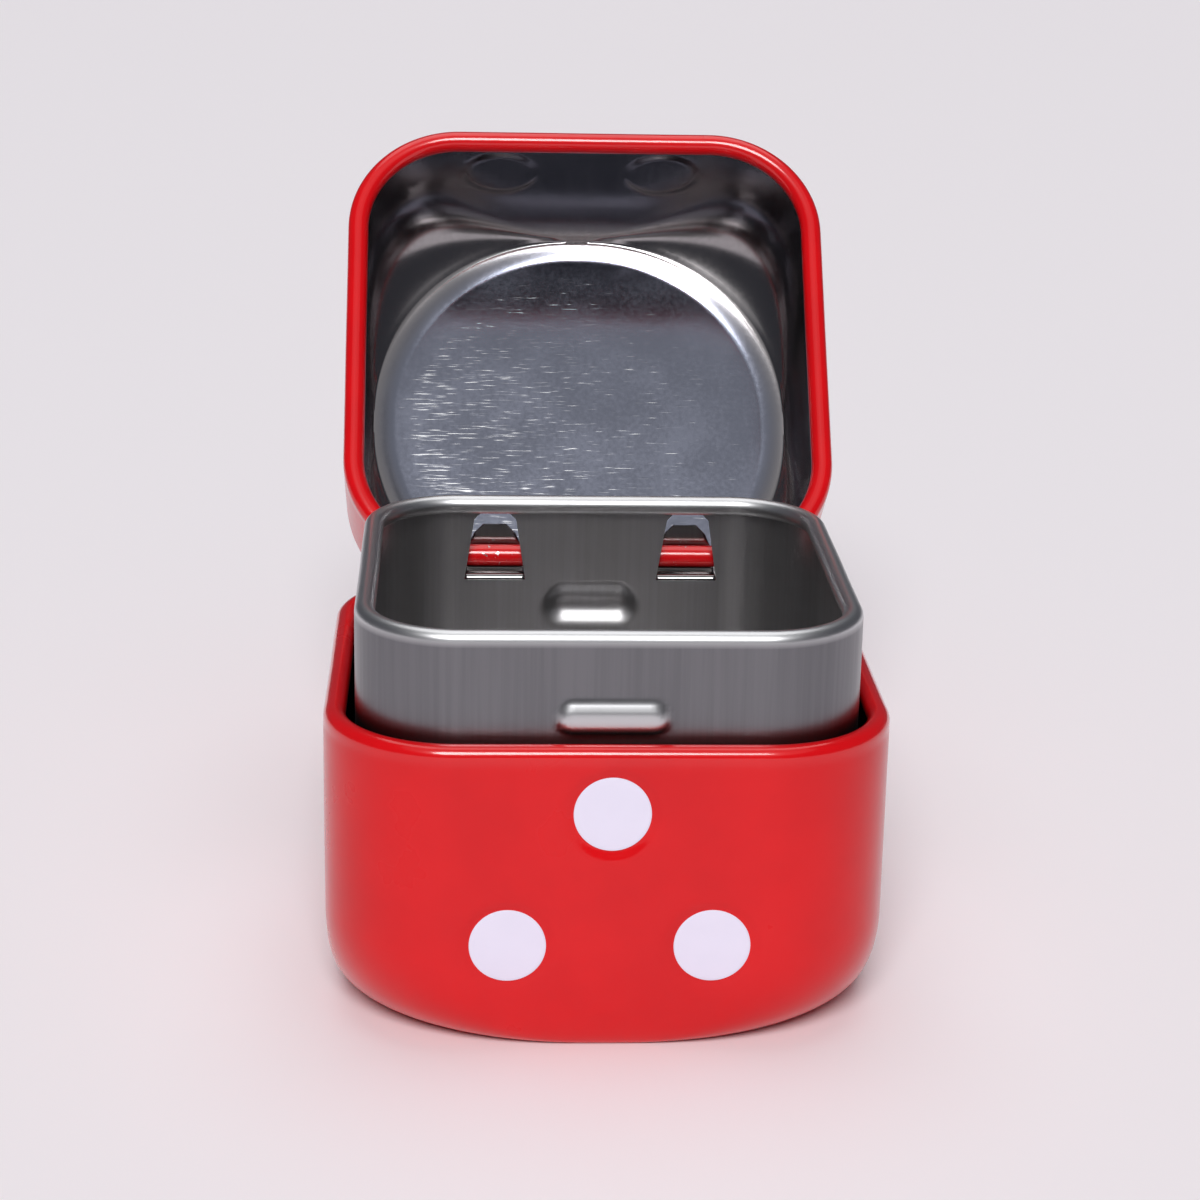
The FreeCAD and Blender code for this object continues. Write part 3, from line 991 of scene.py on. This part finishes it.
@dataclass
class DomedCup(RolledCup):
    """Cup whose closed end is a round disc that swells out into square walls.

    Attributes:
        dome: height over which the disc swells out to the walls.
        inset: how much narrower the disc is than the walls, each side.
        disc_share: how square the disc is.
        raised: rise of the end's plateau.
        lift: how far the disc's edge is drawn back into the cup.
        plateau: radius of the plateau.
        slope: width of the plateau's sloping edge.
        start: angle of the quarter round at which the swelling starts.
        eased: share of the plateau's slope that is eased; the rest is straight.
    """

    # First and last share of the disc's radius and number of rows, in its middle and at its edge.
    MIDDLE_SHARES = (0.03, 0.86, 12)
    EDGE_SHARES = (0.88, 1.0, 16)
    SWELL_ROWS = 20

    seed: float = 2.1
    dome: float = 0.0115
    inset: float = 0.0027
    disc_share: float = 0.05
    raised: float = 0.0
    lift: float = 0.0
    plateau: float = 0.0246
    slope: float = 0.0028
    start: float = 0.0
    eased: float = 0.7

    @property
    def foot(self) -> float:
        """Level at which the walls start."""
        return self.dome

    def spread(self, turn: Array) -> Array:
        """Share from disc to walls: a hyperbola over the sine's growth, from the disc's share to 1."""
        grown = (np.sin(turn) - math.sin(self.start)) / (1 - math.sin(self.start))
        return np.sqrt(self.disc_share**2 + (1 - self.disc_share**2) * grown**2)

    def wall_at(self, level: Array) -> Array:
        """Distance of the outer wall from the axis.

        The level gives the angle of the swelling's quarter ellipse, and the angle gives its spread.

        Args:
            level: levels in the cup.

        Returns:
            One distance for each level.
        """
        fallen = 1 - (level - self.lift) / (self.dome - self.lift)
        turn = np.arccos(np.clip(fallen, 0.0, 1.0) * math.cos(self.start))
        return self.half - self.inset * (1 - self.spread(turn))

    def end_rows(self, depth: float, coat: Coat) -> list[Rows]:
        """Disc with its plateau, then the swelling, a quarter ellipse from the disc to upright.

        Args:
            depth: how far into the sheet the surface lies.
            coat: its finish.

        Returns:
            The rows of the disc and those of the swelling.
        """
        parts = [np.linspace(*shares) for shares in (self.MIDDLE_SHARES, self.EDGE_SHARES)]
        share = np.concatenate(parts)[:, None]
        straight = self.straight * self.disc_share * share
        away = (self.half - self.inset * (1 - self.disc_share)) * share
        left = np.clip(1 - (away - self.plateau) / self.slope, 0.0, 1.0)
        drop = (1 - self.eased) * left + self.eased * smooth(left)
        level = depth + self.lift - (self.raised + self.lift) * drop
        disc = Rows(straight, away - straight - depth * share, level, coat)
        turn = np.linspace(self.start, math.pi / 2, self.SWELL_ROWS + 2)[1:-1, None]
        spread = self.spread(turn)
        straight = self.straight * spread
        radius = self.half - self.inset * (1 - spread) - straight - depth
        risen = 1 - np.cos(turn) / math.cos(self.start)
        foot = depth + self.lift
        swell = Rows(straight, radius, foot + (self.dome - foot) * risen, coat)
        return [disc, swell]


@dataclass
class LidCup(DomedCup):
    """Cup of the lid, drawn mouth upward, with a raised plateau and a fuller rim than the body."""

    height: float = 0.0247
    roll: float = 0.00128
    seed: float = 4.7
    dent: float = 0.00003
    raised: float = 0.0005
    lift: float = 0.0002
    start: float = 0.24


@dataclass
class LinerCup(RolledCup):
    """Bare cup inside the body, with a rounded foot, two beads and two hinge windows.

    Attributes:
        floor: level of its underside.
        rounding: radius of its foot.
    """

    # First and last share of the floor's width and number of rows.
    FLOOR_SHARES = (0.04, 1.0, 16)
    ROUND_ROWS = 12

    corner: float = 0.011
    roll: float = 0.0011
    columns: int = 400
    seed: float = 3.3
    rim_coat: Coat = Coat.BARE
    steps: int = 70
    dent: float = 0.00007
    floor: float = 0.00035
    rounding: float = 0.006

    @property
    def foot(self) -> float:
        """Level at which the walls start."""
        return self.floor + self.rounding

    def end_rows(self, depth: float, coat: Coat) -> list[Rows]:
        """Flat floor, then a quarter round up into the walls.

        Args:
            depth: how far into the sheet the surface lies.
            coat: its finish.

        Returns:
            The rows of the floor and those of the round.
        """
        share = np.linspace(*self.FLOOR_SHARES)[:, None]
        level = np.full((1, 1), self.floor + depth)
        flat = Rows(self.straight * share, (self.corner - self.rounding) * share, level, coat)
        turn = np.linspace(0, math.pi / 2, self.ROUND_ROWS + 2)[1:-1, None]
        inset = depth + (self.rounding - depth) * (1 - np.sin(turn))
        rise = self.floor + depth + (self.rounding - depth) * (1 - np.cos(turn))
        return [flat, Rows(np.full((1, 1), self.straight), self.corner - inset, rise, coat)]


@dataclass(frozen=True)
class Bead:
    """Oblong bead pressed outward through a wall.

    Attributes:
        wall: the wall.
        level: level of its middle.
        height: from its lower to its upper edge.
        depth: how far it stands out.
        slopes: width of its sloping edge below and above.
        length: over its round ends.
        eased: share of the slope that is eased; the rest is straight.
    """

    # Shares of the height about the middle between which the slope's width changes.
    CHANGE_SHARES = (-0.25, 0.25)

    wall: Wall
    level: float
    height: float
    depth: float
    slopes: tuple[float, float]
    length: float = 0.0121
    eased: float = 0.3

    def share(self, across: Array, level: Array) -> Array:
        """Share of the depth, which climbs from the oblong's edge over a slope.

        The distance inside the oblong is half its height less the distance from its middle line,
        and the slope's width goes from the lower one to the upper one about the middle.

        Args:
            across: places across the wall.
            level: levels on it.

        Returns:
            One share for each place.
        """
        flat = (self.length - self.height) / 2
        up = level - self.level
        inside = self.height / 2 - np.hypot(np.maximum(np.abs(across) - flat, 0.0), up)
        slope = np.interp(up / self.height, self.CHANGE_SHARES, self.slopes)
        held = np.clip(inside / slope, 0.0, 1.0)
        return (1 - self.eased) * held + self.eased * smooth(held)


@dataclass(frozen=True)
class Pip:
    """Round enamel pip in a shallow dent of a domed cup's wall.

    Attributes:
        node: CAD node that it stands for.
        cup: the cup.
        place: where the cup stands.
        radius: of the pip.
        recess: depth of the dent.
        thick: thickness of the pip.
        blend: width of the dent's soft edge.
        edge: rounding of the pip's edge.
        columns: columns round its middle.
    """

    # First and last share of the radius and number of rows on the front.
    FACE_SHARES = (0.15, 0.9, 6)
    ROUND_SHARE = 0.3
    BACK_SHARE = 0.5

    node: str
    cup: DomedCup
    place: Place
    radius: float = 0.0040
    recess: float = 0.00034
    thick: float = 0.00010
    blend: float = 0.0012
    edge: float = 0.00006
    columns: int = 72

    @property
    def middle(self) -> Array:
        """Middle of the pip in the cup's frame."""
        low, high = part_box(self.node)
        return self.place.back(np.array((low + high) / 2))

    @property
    def wall(self) -> Wall:
        """Wall that the pip sits in."""
        return Wall.facing(self.middle)

    def share(self, across: Array, level: Array) -> Array:
        """Share of the dent's depth: whole under the pip, and eased away over the soft edge.

        Args:
            across: places across the wall.
            level: levels on it.

        Returns:
            One share for each place.
        """
        middle = self.middle
        away = np.hypot(across - middle[self.wall.axis], level - middle[2])
        return 1 - smooth((away - self.radius) / self.blend)

    def press(self, grid: CupGrid) -> None:
        """Press the dent into the cup's wall."""
        grid.press(self.wall, ON_SWELL * self.cup.half, -self.recess, self.share)

    def build(self, finish: bpy.types.Material) -> bpy.types.Object:
        """Disc on a polar grid, its front and back a set depth behind the wall's own surface.

        Args:
            finish: its material.

        Returns:
            The new object.
        """
        middle, wall = self.middle, self.wall
        front, back = self.thick - self.recess, -self.recess
        on_face = np.linspace(*self.FACE_SHARES) * self.radius
        on_edge = self.radius - np.array([1.0, self.ROUND_SHARE, 0.0, 0.0]) * self.edge
        radii = np.array([*on_face, *on_edge, self.BACK_SHARE * self.radius])
        fallen = front - np.array([0.0, self.ROUND_SHARE, 1.0]) * self.edge
        out = np.array([*np.full(len(on_face), front), *fallen, back, back])
        turn = np.arange(self.columns) * (FULL_TURN / self.columns)
        across = middle[wall.axis] + radii[:, None] * np.cos(turn)
        level = middle[2] + radii[:, None] * np.sin(turn)
        grid = self._in_cup(wall, across, level, self.cup.wall_at(level) + out[:, None])
        pole_across, pole_level = np.full(2, middle[wall.axis]), np.full(2, middle[2])
        pole_depth = self.cup.wall_at(pole_level) + np.array([front, back])
        poles = self._in_cup(wall, pole_across, pole_level, pole_depth)
        points = self.place.put(np.concatenate([grid, poles]))
        faces = self._faces(len(radii), len(turn), wall)
        return make_piece(self.node + "_enamel", points, faces, [finish], np.zeros(len(faces)))

    @staticmethod
    def _in_cup(wall: Wall, across: Array, level: Array, depth: Array) -> Array:
        """Points of the cup's frame.

        Args:
            wall: wall that they belong to.
            across: places across it.
            level: levels on it.
            depth: distances from the axis, towards the wall.

        Returns:
            The points, one by one.
        """
        points = np.empty((across.size, 3))
        points[:, wall.axis] = across.ravel()
        points[:, 1 - wall.axis] = depth.ravel() * sum(wall.value)
        points[:, 2] = level.ravel()
        return points

    @staticmethod
    def _faces(tall: int, wide: int, wall: Wall) -> list[list[int]]:
        """Faces of the polar grid, turned to face outward on its wall.

        Args:
            tall: rows of the grid, from the front's middle to the back's.
            wide: columns of the grid.
            wall: wall that the disc sits in.

        Returns:
            Indices of each face's corners; the two poles come after the grid's points.
        """
        index = np.arange(tall * wide).reshape(tall, wide)
        after = np.roll(index, -1, axis=1)
        quads = np.stack([index[:-1], index[1:], after[1:], after[:-1]], axis=-1).reshape(-1, 4)
        start = np.stack([index[0], after[0], np.full(wide, tall * wide)], axis=-1)
        end = np.stack([after[-1], index[-1], np.full(wide, tall * wide + 1)], axis=-1)
        outward = wall in (Wall.FRONT, Wall.RIGHT)
        faces = [face for part in (quads, start, end) for face in part.tolist()]
        return faces if outward else [face[::-1] for face in faces]


@dataclass(frozen=True)
class HingeLug:
    """Sheet tongue bent out of the liner, under the lid's rolled rim and up behind it.

    Attributes:
        node: CAD node that it stands for.
        pin: middle of the hinge.
        root: distance of the liner's outer wall from the axis.
        sill: level of the window's sill.
        sheet: thickness of the sheet.
        bend: inner radius of the bend at the sill.
        inner: inner radius of the hook.
        width: width of the hook.
        tip_width: width of the tongue below its cut corners.
        rise: height of the tongue's end above the pin.
        chamfer: size of the cut corners.
        edge: size of its cut edges.
    """

    BEND_ROWS = 9
    HOOK_ROWS = 17
    LEG_ROWS = 23
    # Distance of the point beside a cut edge from the corner, in cut edges.
    HOLD_EDGES = 4

    node: str
    pin: Triple
    root: float
    sill: float
    sheet: float = 0.0003
    bend: float = 0.0003
    inner: float = 0.0017
    width: float = 0.0071
    tip_width: float = 0.0050
    rise: float = 0.0034
    chamfer: float = 0.0011
    edge: float = 0.00008

    def path(self) -> tuple[Array, Array, Array]:
        """Middle line of the sheet: a bend, a run, a quarter hook and an upright leg.

        Returns:
            Places along Y and Z, the angle of the sheet's direction and half its width there.
        """
        bend, hook = self.bend + self.sheet / 2, self.inner + self.sheet / 2
        out = np.linspace(math.pi, math.pi / 2, self.BEND_ROWS)
        heel = self.root + self.bend
        first = np.stack([heel + bend * np.cos(out), self.sill + bend * np.sin(out)], axis=-1)
        around = np.linspace(-math.pi / 2, 0.0, self.HOOK_ROWS)
        _, along, level = self.pin
        second = np.stack([along + hook * np.cos(around), level + hook * np.sin(around)], axis=-1)
        climb = np.linspace(0.0, self.rise, self.LEG_ROWS + 1)[1:]
        third = np.stack([np.full(len(climb), along + hook), level + climb], axis=-1)
        upright = np.full(len(climb), math.pi / 2)
        heading = np.concatenate([out - math.pi / 2, around + math.pi / 2, upright])
        line = np.concatenate([first, second, third])
        above = line[:, 1] - level
        stops = [0.0, self.rise - self.chamfer, self.rise]
        widths = [self.width, self.tip_width, self.tip_width - 2 * self.chamfer]
        in_bend = np.arange(len(line)) < len(first)
        return line, heading, np.where(in_bend, self.width, np.interp(above, stops, widths)) / 2

    def build(self, finish: bpy.types.Material) -> bpy.types.Object:
        """Rectangle with cut edges carried along the path, across X, closed at both ends.

        The rectangle has three points at each corner: the two of the cut edge and one a little
        along the flat, which keeps the shading flat.

        Args:
            finish: its material.

        Returns:
            The new object.
        """
        line, heading, half = self.path()
        low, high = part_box(self.node)
        middle = (low.x + high.x) / 2
        thick, edge = self.sheet / 2, self.edge
        wide_share = np.repeat([-1, 1, -1], [3, 6, 3])
        cut = np.tile([0, 1, self.HOLD_EDGES, self.HOLD_EDGES, 1, 0], 2) * edge
        high_share = np.repeat([-1, 1], 6)
        over = thick - np.tile([1, 0, 0, 0, 0, 1], 2) * edge
        across = middle + wide_share * (half[:, None] - cut)
        normal = np.stack([-np.sin(heading), np.cos(heading)], axis=-1)
        beside = line[:, None] + (high_share * over)[None, :, None] * normal[:, None]
        points = np.concatenate([across[..., None], beside], axis=-1)
        tall, wide = across.shape
        index = np.arange(tall * wide).reshape(tall, wide)
        after = np.roll(index, -1, axis=1)
        quads = np.stack([index[:-1], index[1:], after[1:], after[:-1]], axis=-1).reshape(-1, 4)
        faces = [*quads.tolist(), index[0].tolist(), index[-1][::-1].tolist()]
        name = self.node + "_sheet"
        return make_piece(name, points.reshape(-1, 3), faces, [finish], np.zeros(len(faces)))


@dataclass(frozen=True)
class Lamp:
    """Soft far lamp, even over the whole floor.

    Attributes:
        name: name of the lamp.
        azimuth: direction round the tin in degrees, 0 in front and 90 at the right.
        elevation: degrees above the floor.
        spread: width of the lamp in degrees, as the tin sees it.
        strength: in watts a square metre.
    """

    name: str
    azimuth: float
    elevation: float
    spread: float
    strength: float

    def build(self) -> None:
        """Make the lamp, turned to the tin."""
        bearing, up = math.radians(self.azimuth), math.radians(self.elevation)
        level = math.cos(up)
        back = Vector((math.sin(bearing) * level, -math.cos(bearing) * level, math.sin(up)))
        light = bpy.data.lights.new(self.name, "SUN")
        light.energy = self.strength
        light.angle = math.radians(self.spread)
        lamp = bpy.data.objects.new(self.name, light)
        lamp.location = back
        lamp.rotation_euler = back.to_track_quat("Z", "Y").to_euler()
        bpy.context.collection.objects.link(lamp)


@dataclass(frozen=True)
class Studio:
    """Pale floor, soft lamps and a plain surround.

    Attributes:
        lamps: the lamps.
        surround: colour of the surround.
        floor_half: half the floor's width.
    """

    lamps: tuple[Lamp, ...] = (
        Lamp("key", -6.0, 42.0, 25.0, 2.3),
        Lamp("front_fill", 0.0, 61.0, 70.0, 0.33),
        Lamp("top", 180.0, 72.0, 50.0, 0.8),
    )
    surround: Triple = (0.06, 0.063, 0.075)
    floor_half: float = 3.0

    def build(self) -> None:
        """Make floor, lamps and surround."""
        side = np.linspace(-self.floor_half, self.floor_half, 3)
        across, along = np.meshgrid(side, side)
        points = np.stack([across.ravel(), along.ravel(), np.zeros(across.size)], axis=-1)
        index = np.arange(across.size).reshape(across.shape)
        corners = (index[:-1, :-1], index[:-1, 1:], index[1:, 1:], index[1:, :-1])
        faces = np.stack(corners, axis=-1).reshape(-1, 4).tolist()
        floor = make_piece("floor", points, faces, [PaleFloor().material()], np.zeros(len(faces)))
        for lamp in self.lamps:
            lamp.build()
        world = bpy.data.worlds.new("surround")
        world.use_nodes = True
        world.node_tree.nodes["Background"].inputs["Color"].default_value = (*self.surround, 1.0)
        bpy.context.scene.world = world
        bpy.context.scene.view_settings.view_transform = "Standard"


@dataclass(frozen=True)
class PhotoCamera:
    """Camera at the photo's angle.

    Attributes:
        place: where it stands.
        heading: turn to the right of +Y.
        pitch: how far it looks down.
        roll: turn about its own line of sight.
        lens: focal length in millimetres.
        sensor: width of the sensor in millimetres.
        near: least distance that it sees.
    """

    place: Triple = (-0.0156794, -0.2929717, 0.1328414)
    heading: float = 0.0528
    pitch: float = 0.3055
    roll: float = 0.0210
    lens: float = 83.475
    sensor: float = 36.0
    near: float = 0.01

    def build(self) -> None:
        """Make the camera and let the scene look through it."""
        ahead = Vector((
            math.sin(self.heading) * math.cos(self.pitch),
            math.cos(self.heading) * math.cos(self.pitch),
            -math.sin(self.pitch),
        ))
        right = Vector((math.cos(self.heading), -math.sin(self.heading), 0.0))
        up = right.cross(ahead)
        cosine, sine = math.cos(self.roll), math.sin(self.roll)
        axes = (cosine * right + sine * up, cosine * up - sine * right, -ahead)
        turned = Matrix(axes).transposed()
        lens = bpy.data.cameras.new("photo_camera")
        lens.lens, lens.sensor_width, lens.clip_start = self.lens, self.sensor, self.near
        camera = bpy.data.objects.new("photo_camera", lens)
        camera.matrix_world = Matrix.Translation(self.place) @ turned.to_4x4()
        bpy.context.collection.objects.link(camera)
        bpy.context.scene.camera = camera


@dataclass(frozen=True)
class LidWear:
    """Where the lid is rubbed at its hinges and scuffed inside its end.

    Attributes:
        beside: distance from a hinge over which the rub fades.
        fade: share of the rub that fades.
        soft: width over which the scuffing ends at the plateau's edge.
        strip: distance from the middle at which the strip near the hinge starts.
        strip_soft: width over which it starts.
        scuff: scuffing in the plateau's middle.
        slopes: change of the scuffing per metre, across and along.
        depth: height above the end up to which it is scuffed.
    """

    beside: float = 0.006
    fade: float = 0.6
    soft: float = 0.003
    strip: float = 0.018
    strip_soft: float = 0.004
    scuff: float = 0.66
    slopes: tuple[float, float] = (-17.0, -8.0)
    depth: float = 0.003

    def mark(self, cup: DomedCup, grid: CupGrid, hinge_side: float, slot_top: float) -> None:
        """Set the shares of wear and of scuffing at the grid's points.

        The wear falls off with the distance from a hinge. The scuffing is a slope over the plateau,
        strongest at one side, and whole in a strip near the hinge.

        Args:
            cup: the lid's cup.
            grid: its grid.
            hinge_side: distance of each hinge from the middle.
            slot_top: level of the top of the slots, where the rolled rim starts.
        """
        across, along, level = (grid.points[..., axis] for axis in range(3))
        away = np.abs(np.abs(across) - hinge_side)
        on_roll = (along < -ON_WALL * cup.half) & (level > slot_top)
        grid.wear = np.where(on_roll, 1 - self.fade * smooth(away / self.beside), 0.0)
        on_end = smooth((cup.plateau - np.hypot(across, along)) / self.soft)
        near_hinge = smooth((-along - self.strip) / self.strip_soft)
        slope = self.scuff + self.slopes[0] * across + self.slopes[1] * along
        scuffed = np.maximum(on_end * np.clip(slope, 0.0, 1.0), near_hinge)
        grid.scuff = np.where(level < self.depth, scuffed, 0.0)


@dataclass
class DieTin:
    """The whole tin: body, liner with its lugs, lid, and the pips of both.

    Attributes:
        hinge_side: distance of each hinge from the middle.
        slot_levels: foot and top of the lid's slots in its cup.
        slot_half: half the width of a slot.
        pin_inset: distance of the hinge's middle from the lid's outer wall and from its rim.
        sill: level of the sills of the liner's windows.
        window_top: level of the windows' top.
        window_cut: height of the cut corners at the windows' top.
        window_halves: half the width of a window at its sill, below its cut corners and at its top.
        front_bead: bead on the liner's front.
        rear_bead: bead on the liner's rear.
        rim_rub: start of the rub below the top of the liner's rim, and its soft width, in rolls.
        red: finish of both shells outside.
        white: finish of the pips.
    """

    hinge_side: float = 0.0115
    slot_levels: tuple[float, float] = (0.0194, 0.0232)
    slot_half: float = 0.0041
    pin_inset: float = 0.0012
    sill: float = 0.0345
    window_top: float = 0.0429
    window_cut: float = 0.0009
    window_halves: Triple = (0.00365, 0.0025, 0.0016)
    front_bead: Bead = Bead(Wall.FRONT, 0.03625, 0.0039, 0.0006, (0.0007, 0.0016))
    rear_bead: Bead = Bead(Wall.REAR, 0.0315, 0.0056, 0.00085, (0.0023, 0.0020))
    rim_rub: tuple[float, float] = (1.3, 0.6)
    red: bpy.types.Material = field(default_factory=lambda: RedLacquer().material())
    white: bpy.types.Material = field(default_factory=lambda: WhiteEnamel().material())

    def __post_init__(self) -> None:
        """Read the hinge and the bodies from the frame."""
        hinge = frame["joints"][0]
        self.pin = tuple(hinge["pos_m"])
        self.lean = math.pi - math.radians(hinge["range_deg"][1])
        self.bodies = frame["record"]["behaviour"]["bodies"]

    def pips(self, body: str, cup: DomedCup, place: Place) -> list[Pip]:
        """Pips of one body."""
        return [Pip(node, cup, place) for node in self.bodies[body] if "pip" in node]

    def build_body(self) -> None:
        """Body shell and its pips."""
        _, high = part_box("body_shell")
        cup = DomedCup(high.x, high.z)
        grid, _, _ = cup.grid()
        self.finish_cup("body_shell", "tin", cup, grid, Place(), Tinplate("body_tinplate"))

    def build_lid(self) -> None:
        """Lid shell with its slots, and its pips."""
        _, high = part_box("lid_shell")
        cup = LidCup(high.x, marks=self.slot_levels)
        hold = (0.0, self.pin_inset - cup.half, cup.height - self.pin_inset)
        place = Place.hung(self.lean, self.pin, hold)
        grid, outer, inner = cup.grid()
        halves = (self.slot_half, self.slot_half)
        grid.cut(Opening(Wall.FRONT, self.hinge_side, self.slot_levels, halves), outer, inner)
        LidWear().mark(cup, grid, self.hinge_side, self.slot_levels[1])
        self.finish_cup("lid_shell", "lid", cup, grid, place, LidTinplate(place=place))

    def finish_cup(
        self, name: str, body: str, cup: DomedCup, grid: CupGrid, place: Place, inside: Tinplate
    ) -> None:
        """Press the pips' dents into a lacquered cup, build it and build the pips.

        The lacquer's thickness eases in from two rolls below the top of the rim, over one roll.

        Args:
            name: CAD node of the cup.
            body: body that it belongs to.
            cup: the cup.
            grid: its grid.
            place: where it stands.
            inside: finish of its inside.
        """
        pips = self.pips(body, cup, place)
        for pip in pips:
            pip.press(grid)
        below_rim = cup.height - grid.points[..., 2]
        grid.thick = smooth((2.0 * cup.roll - below_rim) / cup.roll)
        finishes = {Coat.OUTSIDE: self.red, Coat.BARE: inside.material()}
        hand_over(grid.build(name + "_sheet", place, finishes), body, "red_lacquer", name)
        for pip in pips:
            hand_over(pip.build(self.white), body, "white_enamel", pip.node)

    def build_liner(self) -> None:
        """Liner cup with beads and windows, and the lugs bent out of it."""
        low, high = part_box("liner_cup")
        levels = (self.sill, self.window_top - self.window_cut, self.window_top)
        cup = LinerCup(high.x, high.z, marks=levels, floor=low.z)
        grid, outer, inner = cup.grid()
        for bead in (self.front_bead, self.rear_bead):
            grid.press(bead.wall, ON_WALL * cup.half, bead.depth, bead.share)
        self.wear_liner(cup, grid)
        windows = Opening(Wall.REAR, self.hinge_side, levels, self.window_halves)
        grid.cut(windows, outer, inner)
        outside, inside = LinerOutsideShadedTinplate(), LinerInsideTinplate()
        finishes = {Coat.OUTSIDE: outside.material(), Coat.BARE: inside.material()}
        hand_over(grid.build("liner_cup_sheet", Place(), finishes), "tin", "tinplate", "liner_cup")
        self.build_lugs(cup)

    def wear_liner(self, cup: LinerCup, grid: CupGrid) -> None:
        """Rub the liner bright on its front bead and round the top of its rim.

        On the bead the share is that of its depth, and on the rim it eases in with the level.

        Args:
            cup: the liner's cup.
            grid: its grid, with the beads pressed.
        """
        across, _, level = (grid.points[..., axis] for axis in range(3))
        on_front = Wall.FRONT.depth(grid.points) > ON_WALL * cup.half
        on_bead = np.where(on_front, self.front_bead.share(across, level), 0.0)
        start, width = self.rim_rub
        on_rim = smooth((level - cup.height + start * cup.roll) / (width * cup.roll))
        grid.wear = np.maximum(on_bead, on_rim)

    def build_lugs(self, cup: LinerCup) -> None:
        """Hinge lugs that leave the sills of the liner's windows.

        Args:
            cup: the liner's cup.
        """
        finish = LugShadedTinplate().material()
        for node in ("hinge_lug_left", "hinge_lug_right"):
            lug = HingeLug(node, self.pin, cup.half, self.sill)
            hand_over(lug.build(finish), "tin", "tinplate", node)


def main() -> None:
    """Build the tin piece by piece, light it and report."""
    logging.basicConfig(level=logging.INFO, format="%(message)s")
    tin = DieTin()
    tin.build_body()
    tin.build_liner()
    tin.build_lid()
    Studio().build()
    PhotoCamera().build()


if __name__ == "__main__":
    main()
